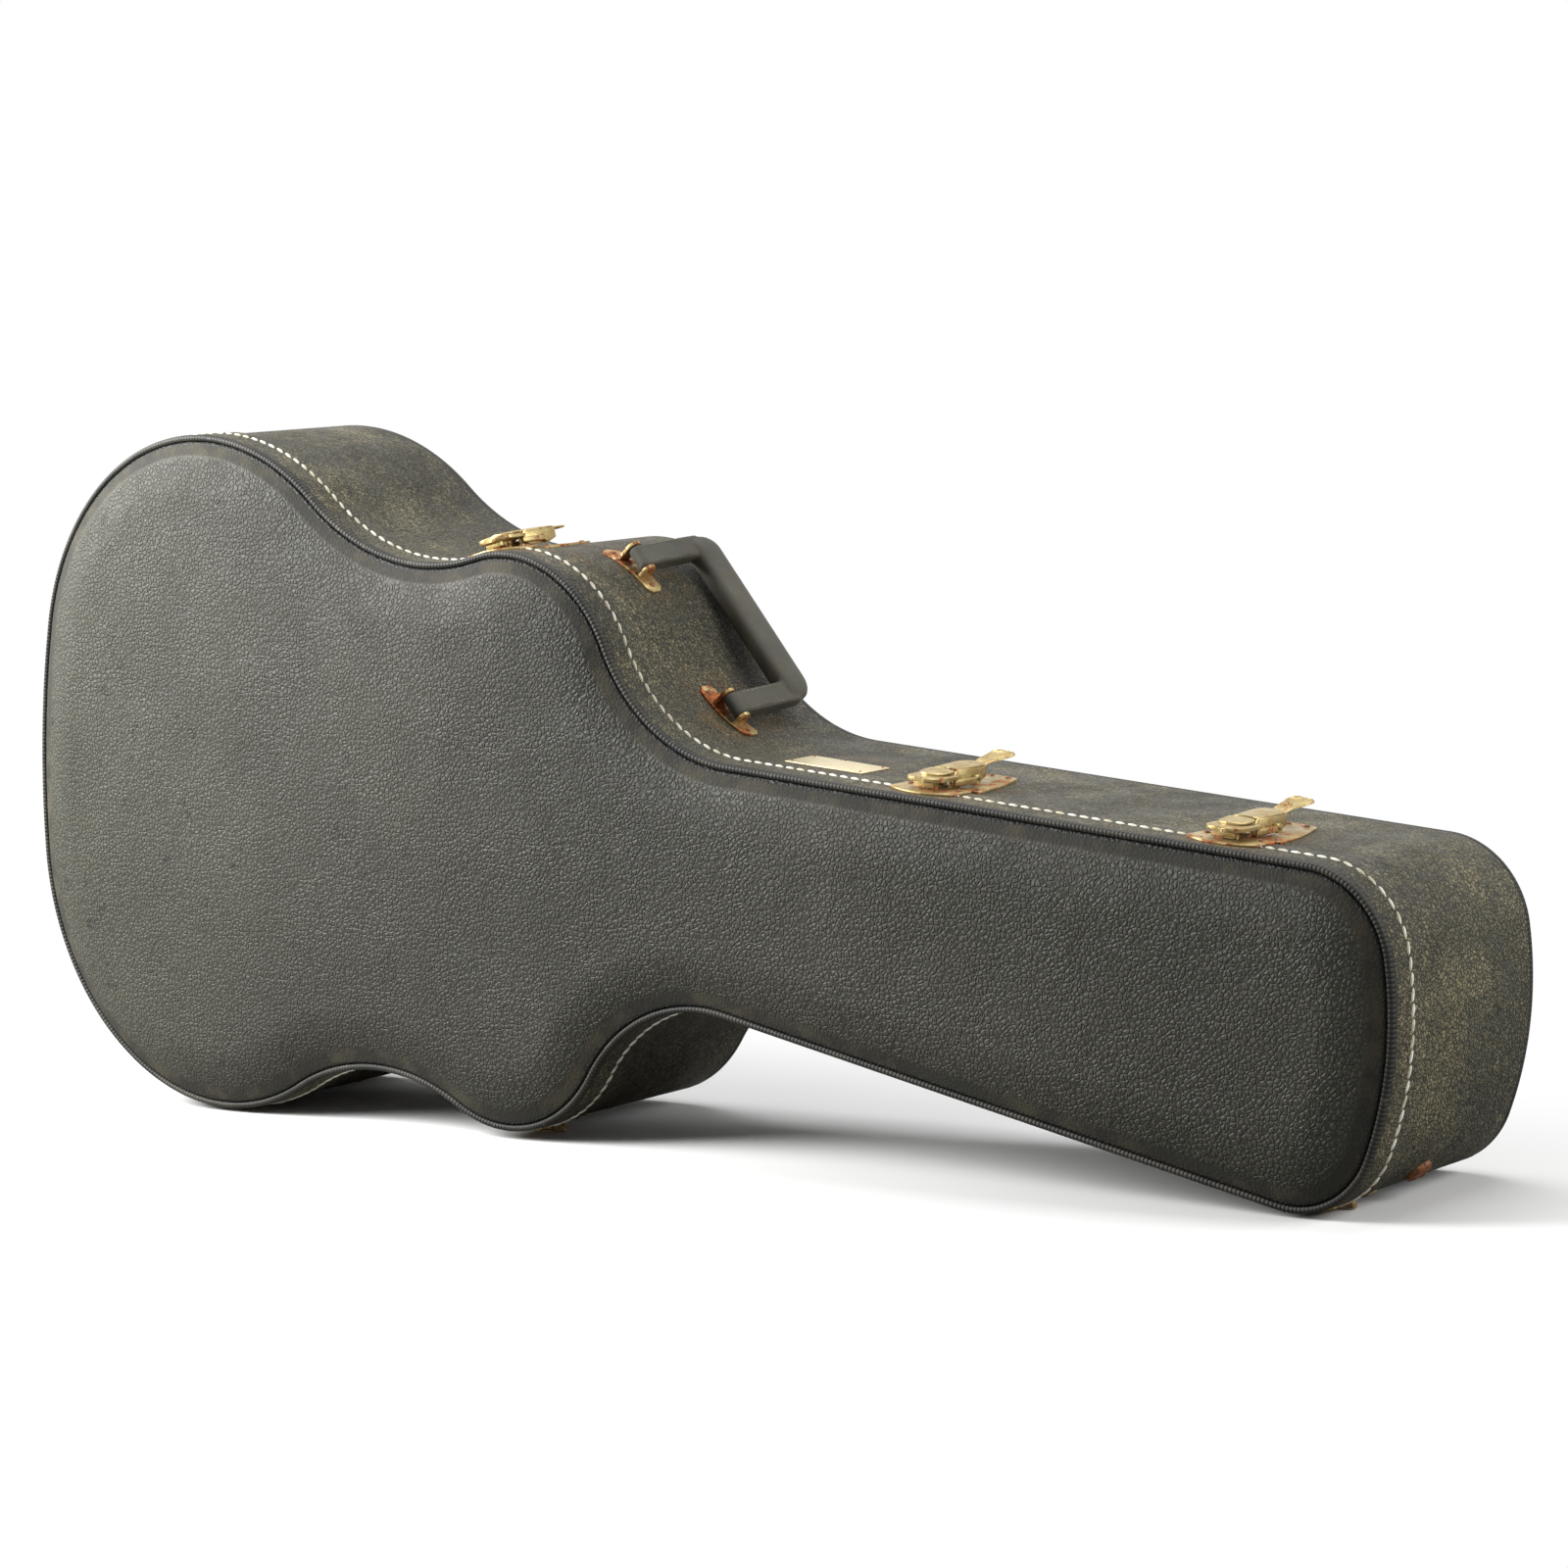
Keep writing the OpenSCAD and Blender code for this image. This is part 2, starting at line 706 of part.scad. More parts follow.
module hinge_body_tail() color("goldenrod") hinge_leaf(hinge_places[0], true);
module hinge_body_bout() color("goldenrod") hinge_leaf(hinge_places[1], true);
module hinge_body_head() color("goldenrod") hinge_leaf(hinge_places[2], true);
module hinge_lid_tail() color("goldenrod") hinge_leaf(hinge_places[0], false);
module hinge_lid_bout() color("goldenrod") hinge_leaf(hinge_places[1], false);
module hinge_lid_head() color("goldenrod") hinge_leaf(hinge_places[2], false);
module hinge_pin_tail() color("silver") hinge_bar(hinge_places[0], hinge_pin_r, hinge_len);
module hinge_pin_bout() color("silver") hinge_bar(hinge_places[1], hinge_pin_r, hinge_len);
module hinge_pin_head() color("silver") hinge_bar(hinge_places[2], hinge_pin_r, hinge_len);

// Spots of the rivets on a leaf, on the side of side's sign
leaf_rivet_in = 5;
function leaf_spots(side) =
    [for (s = [-1, 1], d = [leaf_rivet_in, leaf_d - leaf_rivet_in])
        [s * (hinge_len / 2 - leaf_rivet_in), side * (leaf_near + d)]];

module hinge_body_rivets() {
    color("darkgoldenrod")
        stand()
            for (place = hinge_places)
                rivets(place, lid_depth, rim_step, leaf_wall, leaf_spots(1));
}

module hinge_lid_rivets() {
    color("darkgoldenrod")
        stand()
            for (place = hinge_places)
                rivets(place, lid_depth, 0, leaf_wall, leaf_spots(-1));
}

// ---- feet and glide ----
foot_gap = 3;
foot_w = lid_depth + leaf_near + leaf_d + foot_r + foot_gap;
// A dome of radius r that stands from the body's rim out to z = top, with a small flat end
dome_root = 3;
dome_flat = 0.45;
module dome(r, top) {
    base = -rim_step;
    rotate_extrude($fn = trim_fn)
        polygon(concat([[0, base - dome_root], [r, base - dome_root]],
            [for (i = [0:5]) [r * (dome_flat + (1 - dome_flat) * cos(18 * i)),
                base + (top - base) * (0.3 + 0.7 * sin(18 * i))]],
            [[0, top]]));
}

module on_body_rim() {
    difference() {
        children();
        slab(outline(rim_step), -depth, 2 * depth);
    }
}

module feet() {
    color([0.45, 0.4, 0.33])
        stand()
            on_body_rim()
                for (place = [hinge_places[0], hinge_places[2]], w = [foot_w, foot_w + foot_span])
                    at_place(place, w) dome(foot_r, stand_h);
}

module glide_head() {
    color([0.45, 0.32, 0.2])
        stand()
            on_body_rim()
                at_place(on_arc(low_corner_c, head_r, -glide_turn), depth / 2)
                    dome(glide_r, glide_h - rim_step);
}

// ---- name plate ----
label_nail_r = 1;
label_nail_in = 3;
module label_plate() {
    color("goldenrod")
        stand()
            at_place(on_neck(label_u), label_mid_w)
                translate([-label_len / 2, -label_w / 2, -rim_step])
                    cube([label_len, label_w, label_wall]);
}

module label_nails() {
    color("darkgoldenrod")
        stand()
            at_place(on_neck(label_u), label_mid_w)
                for (x = [-1, 1], y = [-1, 1])
                    translate([x * (label_len / 2 - label_nail_in),
                            y * (label_w / 2 - label_nail_in), label_wall - rim_step])
                        rivet(label_nail_r, label_nail_r / 2);
}

// ---- latches ----
tail_place = on_arc(bout_c, bout_r, latch_tail_turn);
bout_place = on_arc(shoulder_c, shoulder_r, latch_bout_turn);
neck_place = on_neck(latch_neck_u);
head_place = on_neck(latch_head_u);
latch_places = [tail_place, bout_place, neck_place, head_place];

// Clearances and walls of the latch parts
side_gap = 0.4;
lever_side = 2.6;
ear_wall = 2.6;
ear_r = 3.6;
base_gap = 4.5;
catch_gap = 1;
lever_in = lever_half - lever_side;
ear_out = lever_in - side_gap;
ear_in = ear_out - ear_wall;
bail_in = lever_half + side_gap;
bail_half = bail_in + bail_arm;
// Heights above the lid's outline: the lever's pivot, the bail's pivot and the lever's top
pivot_z = pivot_h - rim_step;
bail_z = pivot_z - over_centre;
top_z = lever_top - rim_step;
bail_back = pivot_back + throw;

// A hole for a latch pin through everything that lies across it
module latch_bore(y, z) {
    bar_across(-2 * bail_half, 2 * bail_half, y, z, latch_pin_r + pin_clear);
}

// Base plate: wide at the front, with a rounded end, and two ears for the lever's pin
base_bulge = 3;
module latch_base(place) {
    back = base_gap + base_len - base_bulge;
    color("goldenrod")
        stand()
            difference() {
                union() {
                    wrapped(place, lid_depth, rim_step, latch_wall)
                        polygon(concat([[-base_mid, base_gap + base_len / 2],
                                [-latch_half, base_gap], [latch_half, base_gap],
                                [base_mid, base_gap + base_len / 2]],
                            [for (i = [0:12])
                                [base_end * cos(15 * i), back + base_bulge * sin(15 * i)]]));
                    on_body_rim()
                        at_place(place, lid_depth)
                            for (x = [-ear_out, ear_in]) {
                                bar_across(x, x + ear_wall, pivot_back, pivot_z, ear_r);
                                translate([x, pivot_back - ear_r, -dome_root])
                                    cube([ear_wall, 2 * ear_r, pivot_z + dome_root]);
                            }
                }
                at_place(place, lid_depth) latch_bore(pivot_back, pivot_z);
            }
}

// Catch plate: a bowed front edge and an upright strike that the bail hooks over
catch_bow = 8;
strike_wall = 2.5;
strike_half = 6;
strike_clear = 0.5;
bail_low = bail_z + bail_wall / 2;
catch_bow_r = (latch_half * latch_half + catch_bow * catch_bow) / (2 * catch_bow);
module catch_plate(place) {
    front = catch_edge - lid_depth;
    half_turn = asin(latch_half / catch_bow_r);
    color("goldenrod")
        stand()
            union() {
                wrapped(place, lid_depth, 0, latch_wall)
                    polygon(concat([[latch_half, -catch_gap], [-latch_half, -catch_gap]],
                        round_corner([0, front + catch_bow_r], catch_bow_r, 270 - half_turn,
                            270 + half_turn)));
                difference() {
                    at_place(place, lid_depth)
                        translate([-strike_half, -strike_back, -dome_root])
                            cube([2 * strike_half, strike_wall,
                                bail_low - strike_clear + dome_root]);
                    slab(outline(0), -depth, 2 * depth);
                }
            }
}

// Lever: a channel on the base plate's ears, with a waist and a thumb tab
lever_round = 4.2;
lever_front = 2;
neck_half = 4;
neck_len = 4;
tab_round = 3;
stub_len = 13;
module lever(place, tab) {
    end = pivot_back + lever_len;
    under = top_z - lever_wall;
    tip = end + (tab ? tab_len : stub_len) - tab_round;
    wide = tab ? tab_half : neck_half;
    color("goldenrod")
        stand()
            at_place(place, lid_depth)
                difference() {
                    union() {
                        translate([0, 0, under])
                            linear_extrude(lever_wall)
                                polygon(concat([[-neck_half, end + neck_len], [-neck_half, end],
                                        [-lever_half, end], [-lever_half, pivot_back - lever_front],
                                        [lever_half, pivot_back - lever_front], [lever_half, end],
                                        [neck_half, end], [neck_half, end + neck_len]],
                                    [for (i = [0:6])
                                        [wide * cos(30 * i), tip + tab_round * sin(30 * i)]]));
                        for (x = [-lever_half, lever_in]) {
                            bar_across(x, x + lever_side, pivot_back, pivot_z, lever_round);
                            shape_across(x, x + lever_side)
                                polygon([[pivot_back, pivot_z - lever_round],
                                    [bail_back + lever_round, bail_z - ear_wall],
                                    [end, bail_z], [end, under + joint_in],
                                    [pivot_back - lever_front, under + joint_in],
                                    [pivot_back - lever_round, pivot_z]]);
                        }
                    }
                    latch_bore(pivot_back, pivot_z);
                    latch_bore(bail_back, bail_z);
                }
}

module lever_pins() {
    color("silver")
        stand()
            for (place = latch_places)
                at_place(place, lid_depth)
                    bar_across(-lever_half, lever_half, pivot_back, pivot_z, latch_pin_r);
}

module bail_pin(place) {
    color("silver")
        stand()
            at_place(place, lid_depth)
                bar_across(-bail_half, bail_half, bail_back, bail_z, latch_pin_r);
}

// Bail: two arms beside the lever, two rounded plates in front of it and a lip that hooks
// down in front of the strike
bail_eye = 2.6;
bail_round = 8;
bail_gap = 6;
bail_step = 7;
lip_half = 6.5;
lip_wall_t = 3;
lip_clear_z = 1.4;
module bail_slab(front, half, z0, z1) {
    translate([0, 0, z0])
        linear_extrude(z1 - z0)
            polygon(concat([[half, pivot_back - bail_gap], [-half, pivot_back - bail_gap],
                    [-half, pivot_back - bail_gap - bail_eye]],
                round_corner([0, front + bail_round], bail_round, 180, 360),
                [[half, pivot_back - bail_gap - bail_eye]]));
}

module bail(place) {
    lip_y = -strike_back - strike_clear - lip_wall_t;
    front = lip_y - lip_wall_t - 1;
    upper_z = bail_low + bail_wall;
    color("goldenrod")
        stand()
            at_place(place, lid_depth)
                difference() {
                    union() {
                        for (x = [-bail_half, bail_in]) {
                            bar_across(x, x + bail_arm, bail_back, bail_z, bail_eye);
                            translate([x, pivot_back - bail_gap - bail_eye, bail_z - bail_wall / 2])
                                cube([bail_arm, bail_back - pivot_back + bail_gap + bail_eye,
                                    bail_wall]);
                        }
                        bail_slab(front, bail_half, bail_low - joint_in, upper_z);
                        bail_slab(front + bail_step, lever_half, upper_z - joint_in,
                            top_z - strike_clear);
                        translate([-lip_half, lip_y, latch_wall + lip_clear_z])
                            cube([2 * lip_half, lip_wall_t, bail_low - latch_wall - lip_clear_z]);
                    }
                    latch_bore(bail_back, bail_z);
                }
}

module latch_base_tail() latch_base(tail_place);
module latch_base_bout() latch_base(bout_place);
module latch_base_neck() latch_base(neck_place);
module latch_base_head() latch_base(head_place);
module catch_tail() catch_plate(tail_place);
module catch_bout() catch_plate(bout_place);
module catch_neck() catch_plate(neck_place);
module catch_head() catch_plate(head_place);
module lever_tail() lever(tail_place, true);
module lever_bout() lever(bout_place, false);
module lever_neck() lever(neck_place, true);
module lever_head() lever(head_place, true);
module bail_tail() bail(tail_place);
module bail_bout() bail(bout_place);
module bail_neck() bail(neck_place);
module bail_head() bail(head_place);
module bail_pin_tail() bail_pin(tail_place);
module bail_pin_bout() bail_pin(bout_place);
module bail_pin_neck() bail_pin(neck_place);
module bail_pin_head() bail_pin(head_place);

// Rivets near the corners of each plate
latch_rivet_in = 5;
base_spots = [for (s = [-1, 1], y = [0, 1])
    [s * (latch_half - latch_rivet_in - y * (latch_half - base_end)),
        base_gap + latch_rivet_in + y * (base_len - 2 * latch_rivet_in)]];
catch_spots = [for (s = [-1, 1]) [s * (latch_half - latch_rivet_in), -catch_gap - latch_rivet_in]];

module latch_base_rivets() {
    color("darkgoldenrod")
        stand()
            for (place = latch_places)
                rivets(place, lid_depth, rim_step, latch_wall, base_spots);
}

module catch_rivets() {
    color("darkgoldenrod")
        stand()
            for (place = latch_places)
                rivets(place, lid_depth, 0, latch_wall, catch_spots);
}

// ---- handle ----
upper_place = on_arc(shoulder_c, shoulder_r, handle_turn_up);
lower_place = on_arc(flare_c(neck_top, head_top), -flare_r, handle_turn_low);
function on_body(place) = place[0] - rim_step * along(place[1]);
pin_way = on_body(lower_place) - on_body(upper_place);
half_span = norm(pin_way) / 2;
handle_turn = turn_of(pin_way) + 90;
handle_place = [(on_body(upper_place) + on_body(lower_place)) / 2
    + handle_pin_h * along(handle_turn), handle_turn, 0];
handle_ear_r = 4.5;
handle_ear_wall = 2;
handle_gap = 0.5;
ear_reach = arm_w / 2 + handle_gap;

module at_handle() {
    at_place(handle_place, handle_w)
        children();
}

// A plate that follows the rim, with two ears for the pin, at -1 or 1 times the half span
module handle_plate(place, side) {
    x = plate_len / 2;
    y = plate_w / 2;
    color("goldenrod")
        stand()
            difference() {
                union() {
                    wrapped(place, handle_w, rim_step, plate_wall)
                        polygon([[-x + y / 2, -y], [x - y / 2, -y], [x, -y / 2], [x, y / 2],
                            [x - y / 2, y], [-x + y / 2, y], [-x, y / 2], [-x, -y / 2]]);
                    on_body_rim()
                        at_handle()
                            for (ear = [-ear_reach - handle_ear_wall, ear_reach])
                                translate([side * half_span + ear, 0, 0]) {
                                    bar_across(0, handle_ear_wall, 0, 0, handle_ear_r);
                                    translate([0, -handle_ear_r, -2 * handle_pin_h])
                                        cube([handle_ear_wall, 2 * handle_ear_r,
                                            2 * handle_pin_h]);
                                }
                }
                at_handle()
                    bar_across(side * half_span - arm_w, side * half_span + arm_w, 0, 0,
                        handle_pin_r + pin_clear);
            }
}

module handle_plate_upper() handle_plate(upper_place, -1);
module handle_plate_lower() handle_plate(lower_place, 1);

plate_rivet_in = 5;
module handle_rivets() {
    spots = [for (s = [-1, 1]) [s * (plate_len / 2 - plate_rivet_in), 0]];
    color("darkgoldenrod")
        stand()
            for (place = [upper_place, lower_place])
                rivets(place, handle_w, rim_step, plate_wall, spots);
}

module handle_pins() {
    reach = ear_reach + handle_ear_wall;
    color([0.45, 0.3, 0.2])
        stand()
            at_handle()
                for (side = [-1, 1])
                    bar_across(side * half_span - reach, side * half_span + reach, 0, 0,
                        handle_pin_r);
}

// Two flat arms and a thick grip, folded back close to the rim
grip_corner = 12;
grip_inner_r = 8;
grip_edge_r = 5;
module handle_grip() {
    outer = half_span + arm_w / 2;
    inner = half_span - arm_w / 2;
    inner_y = handle_reach - grip_w;
    y = grip_w / 2 - grip_edge_r;
    z = grip_t / 2 - grip_edge_r;
    color([0.2, 0.2, 0.19])
        stand()
            at_handle()
                rotate([handle_rise, 0, 0])
                    difference() {
                        union() {
                            translate([0, 0, -arm_t / 2])
                                linear_extrude(arm_t)
                                    polygon(concat([[inner, 0], [outer, 0]],
                                        round_corner([outer - grip_corner,
                                            handle_reach - grip_corner], grip_corner, 0, 90),
                                        round_corner([grip_corner - outer,
                                            handle_reach - grip_corner], grip_corner, 90, 180),
                                        [[-outer, 0], [-inner, 0]],
                                        round_corner([grip_inner_r - inner,
                                            inner_y - grip_inner_r], grip_inner_r, 180, 90),
                                        round_corner([inner - grip_inner_r,
                                            inner_y - grip_inner_r], grip_inner_r, 90, 0)));
                            for (side = [-1, 1])
                                bar_across(side * half_span - arm_w / 2,
                                    side * half_span + arm_w / 2, 0, 0, arm_t / 2);
                            translate([0, handle_reach - grip_w / 2, 0])
                                shape_across(grip_corner - outer, outer - grip_corner)
                                    polygon(concat(round_corner([y, z], grip_edge_r, 0, 90),
                                        round_corner([-y, z], grip_edge_r, 90, 180),
                                        round_corner([-y, -z], grip_edge_r, 180, 270),
                                        round_corner([y, -z], grip_edge_r, 270, 360)));
                        }
                        bar_across(-2 * half_span, 2 * half_span, 0, 0,
                            handle_pin_r + pin_clear);
                    }
}

// ---- what is drawn ----
back_panel();
body_rim();
back_welt();
body_lip();
body_lining();
neck_rest();
box_wall_bout();
box_wall_head();
box_shelf();
box_pin();
label_plate();
label_nails();
handle_plate_upper();
handle_plate_lower();
handle_rivets();
handle_pins();
feet();
glide_head();
hinge_body_tail();
hinge_body_bout();
hinge_body_head();
hinge_pin_tail();
hinge_pin_bout();
hinge_pin_head();
hinge_body_rivets();
latch_base_tail();
latch_base_bout();
latch_base_neck();
latch_base_head();
latch_base_rivets();
lever_pins();
lid_panel();
lid_rim();
lid_rim_head();
lid_welt();
lid_lining();
hinge_lid_tail();
hinge_lid_bout();
hinge_lid_head();
hinge_lid_rivets();
catch_tail();
catch_bout();
catch_neck();
catch_head();
catch_rivets();
lever_tail();
lever_bout();
lever_neck();
lever_head();
bail_pin_tail();
bail_pin_bout();
bail_pin_neck();
bail_pin_head();
bail_tail();
bail_bout();
bail_neck();
bail_head();
handle_grip();
box_flap();
flap_pull();
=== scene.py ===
"""Looks of a worn hard-shell guitar case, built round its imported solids.

Forms are drawn in millimetres in the case's own axes: u runs from the tail end to the head
end, w from the lid's front edge to the back edge, and v from the hinge side to the handle
side. One matrix, Outline.stand, carries them to the finished part's metres.
"""
import logging
import math
from collections.abc import Callable, Iterable, Sequence
from dataclasses import dataclass
from enum import Enum
from functools import cache

import bmesh
import bpy
from mathutils import Matrix, Vector


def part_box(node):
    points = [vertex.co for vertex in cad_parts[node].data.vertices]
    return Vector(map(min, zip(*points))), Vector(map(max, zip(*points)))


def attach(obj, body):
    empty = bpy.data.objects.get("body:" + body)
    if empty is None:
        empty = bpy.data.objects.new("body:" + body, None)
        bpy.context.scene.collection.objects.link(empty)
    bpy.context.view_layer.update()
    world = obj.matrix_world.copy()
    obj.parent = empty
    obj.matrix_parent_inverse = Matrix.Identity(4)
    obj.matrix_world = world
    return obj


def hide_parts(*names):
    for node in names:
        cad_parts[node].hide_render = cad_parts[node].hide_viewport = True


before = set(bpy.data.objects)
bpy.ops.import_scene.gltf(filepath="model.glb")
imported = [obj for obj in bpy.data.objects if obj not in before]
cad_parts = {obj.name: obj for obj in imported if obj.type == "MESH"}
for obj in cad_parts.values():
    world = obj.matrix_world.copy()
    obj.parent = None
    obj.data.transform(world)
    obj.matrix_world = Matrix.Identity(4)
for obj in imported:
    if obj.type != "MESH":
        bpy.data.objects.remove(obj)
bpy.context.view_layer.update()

log = logging.getLogger("guitar_case")

MM = 0.001

# Outline, as in the part's source
CASE_LEN = 1060.0
BOUT_HALF = 217.3
BOUT_R = 161.6
TAIL_R = 600.0
SHOULDER_U = 430.0
SHOULDER_GAP = 2.9
SHOULDER_R = 89.4
WAIST_R = 152.0
FLARE_R = 107.0
NECK_U = 600.0
NECK_TOP = 76.1
NECK_LOW = 71.6
HEAD_U = 1000.0
HEAD_TOP = 88.1
HEAD_LOW = 97.2
HEAD_R = 53.2
END_R = 210.0
SOURCE_STEP = 4.0

# Depths and walls
DEPTH = 138.8
LID_DEPTH = 32.5
PART_GAP = 0.5
RIM_WALL = 5.0
RIM_STEP = 1.3
WELT_W = 4.0
WELT_H = 4.4
LINING = 3.0
LIP_WALL = 2.0
LIP_REACH = 7.0
LIP_ROOT = 10.0
STAND_H = 2.4
BODY_IN = RIM_STEP + RIM_WALL
BACK_EDGE = DEPTH - WELT_H
BODY_FLOOR = BACK_EDGE - LINING
INNER_IN = BODY_IN + LINING + 0.5

# Places of the latches
LATCH_HEAD_U = CASE_LEN - 121.5
LATCH_NECK_U = 737.0
LATCH_BOUT_TURN = 109.0
LATCH_TAIL_TURN = 161.0


def along(turn: float) -> Vector:
    """Unit vector at a turn.

    Args:
        turn: Degrees from the u axis.

    Returns:
        The vector, in u and v.
    """
    return Vector((math.cos(math.radians(turn)), math.sin(math.radians(turn))))


def turn_of(way: Vector) -> float:
    """Turn of a vector, in degrees from the u axis."""
    return math.degrees(math.atan2(way.y, way.x))


def flip(point: Vector) -> Vector:
    """The point's mirror image on the other side of the middle line."""
    return Vector((point.x, -point.y))


def meet(a: Vector, from_a: float, b: Vector, from_b: float) -> Vector:
    """Point at given distances from two others, on the left of the way from a to b.

    Args:
        a: First point.
        from_a: Distance from the first point.
        b: Second point.
        from_b: Distance from the second point.

    Returns:
        The point.
    """
    gap = (b - a).length
    way = (b - a) / gap
    reach = (from_a**2 - from_b**2 + gap**2) / (2 * gap)
    side = math.sqrt(from_a**2 - reach**2)
    return a + way * reach + Vector((-way.y, way.x)) * side


@dataclass(frozen=True)
class Arc:
    """One arc of the outline; its radius is below zero where the outline is hollow.

    Attributes:
        center: Centre in u and v.
        radius: Radius, with its sign.
        start: Turn at which it starts, in degrees.
        end: Turn at which it ends.
        straight_after: Whether a straight side follows.
    """

    center: Vector
    radius: float
    start: float
    end: float
    straight_after: bool = False

    def points(self, inset: float, step: float) -> list[Vector]:
        """Points of the arc, set in from the outline.

        Args:
            inset: Distance in from the outline.
            step: Largest turn between two points, in degrees.

        Returns:
            The points, without the last one unless a straight side follows.
        """
        turn = self.end - self.start
        count = max(2, math.ceil(abs(turn) / step))
        last = count + 1 if self.straight_after else count
        return [
            self.center + (self.radius - inset) * along(self.start + turn * i / count)
            for i in range(last)
        ]


class Outline:
    """The case's outline and the way it stands."""

    def __init__(self) -> None:
        """Works out the arcs' centres and the way the case stands."""
        bout_v = BOUT_HALF - BOUT_R
        bout_u = TAIL_R - math.sqrt((TAIL_R - BOUT_R) ** 2 - bout_v**2)
        self.bout = Vector((bout_u, bout_v))
        self.tail = Vector((TAIL_R, 0))
        self.end = Vector((CASE_LEN - END_R, 0))
        low_bout = flip(self.bout)
        self.low_corner = flip(self.corner(NECK_LOW, HEAD_LOW))
        level = self.low_corner - low_bout
        lean = math.asin((BOUT_R - HEAD_R) / level.length)
        self.tilt = math.radians(turn_of(level)) + lean
        drop = self.turned(low_bout).y
        self.lift = STAND_H + BOUT_R - drop
        rise = BOUT_R - drop - SHOULDER_GAP - SHOULDER_R - SHOULDER_U * math.sin(self.tilt)
        self.shoulder = Vector((SHOULDER_U, rise / math.cos(self.tilt)))
        self.waist = meet(self.bout, BOUT_R + WAIST_R, self.shoulder, SHOULDER_R + WAIST_R)
        across = [self.turned(point).x for point in self.loop(0, SOURCE_STEP)]
        self.mid_x = (min(across) + max(across)) / 2
        turn = Matrix.Rotation(self.tilt, 4, "Y")
        self.stand = Matrix.Scale(MM, 4) @ Matrix.Translation((-self.mid_x, 0, self.lift)) @ turn

    @staticmethod
    def slope(slim: float, wide: float) -> float:
        """Slope of a straight neck side from its slim end to its wide end."""
        return (wide - slim) / (HEAD_U - NECK_U)

    def beside(self, slim: float, wide: float, gap: float, center: Vector, r: float) -> Vector:
        """Centre at a distance outside a neck side and at another from a point.

        Args:
            slim: Half width of the side's slim end.
            wide: Half width of the side's wide end.
            gap: Distance outside the side; below zero is inside.
            center: The point.
            r: Distance from that point.

        Returns:
            The later of the two such centres.
        """
        slope = self.slope(slim, wide)
        out = Vector((-slope, 1)).normalized()
        way = Vector((1, slope)).normalized()
        start = Vector((NECK_U, slim)) + out * gap
        half = (start - center).dot(way)
        rest = (start - center).length_squared - r * r
        return start + way * (math.sqrt(half * half - rest) - half)

    def corner(self, slim: float, wide: float) -> Vector:
        """Centre of a head corner."""
        return self.beside(slim, wide, -HEAD_R, self.end, END_R - HEAD_R)

    def flare(self, slim: float, wide: float) -> Vector:
        """Centre of the hollow between the upper bout and the neck."""
        return self.beside(slim, wide, FLARE_R, self.shoulder, SHOULDER_R + FLARE_R)

    def turned(self, point: Vector) -> Vector:
        """The point once the case stands level, before it is moved into place."""
        c = math.cos(self.tilt)
        s = math.sin(self.tilt)
        return Vector((point.x * c + point.y * s, point.y * c - point.x * s))

    def half_arcs(self, slim: float, wide: float) -> list[Arc]:
        """Arcs of one half from the tail to the head.

        Args:
            slim: Half width of the neck's slim end.
            wide: Half width of its wide end.

        Returns:
            The arcs.
        """
        flare = self.flare(slim, wide)
        corner = self.corner(slim, wide)
        side = turn_of(Vector((-self.slope(slim, wide), 1)))
        to_bout = turn_of(self.bout - self.tail)
        to_waist = turn_of(self.waist - self.bout)
        to_shoulder = turn_of(self.waist - self.shoulder)
        to_flare = turn_of(flare - self.shoulder)
        to_end = turn_of(corner - self.end)
        return [
            Arc(self.tail, TAIL_R, 180, to_bout),
            Arc(self.bout, BOUT_R, to_bout, to_waist),
            Arc(self.waist, -WAIST_R, to_waist, to_shoulder),
            Arc(self.shoulder, SHOULDER_R, to_shoulder, to_flare),
            Arc(flare, -FLARE_R, to_flare, side, straight_after=True),
            Arc(corner, HEAD_R, side, to_end),
            Arc(self.end, END_R, to_end, 0),
        ]

    def loop(self, inset: float, step: float = 1.5) -> list[Vector]:
        """The whole outline, set in by a distance.

        Args:
            inset: Distance in from the lid's outline.
            step: Largest turn between two points, in degrees.

        Returns:
            The points; their number and order don't depend on the inset.
        """
        top = [p for arc in self.half_arcs(NECK_TOP, HEAD_TOP) for p in arc.points(inset, step)]
        low = [p for arc in self.half_arcs(NECK_LOW, HEAD_LOW) for p in arc.points(inset, step)]
        return top + [Vector((CASE_LEN - inset, 0))] + [flip(p) for p in reversed(low[1:])]

    def neck_top(self, u: float) -> float:
        """Half width on the handle side of the neck part."""
        return NECK_TOP + (u - NECK_U) * self.slope(NECK_TOP, HEAD_TOP)

    def neck_low(self, u: float) -> float:
        """Half width on the hinge side of the neck part."""
        return NECK_LOW + (u - NECK_U) * self.slope(NECK_LOW, HEAD_LOW)


OUTLINE = Outline()


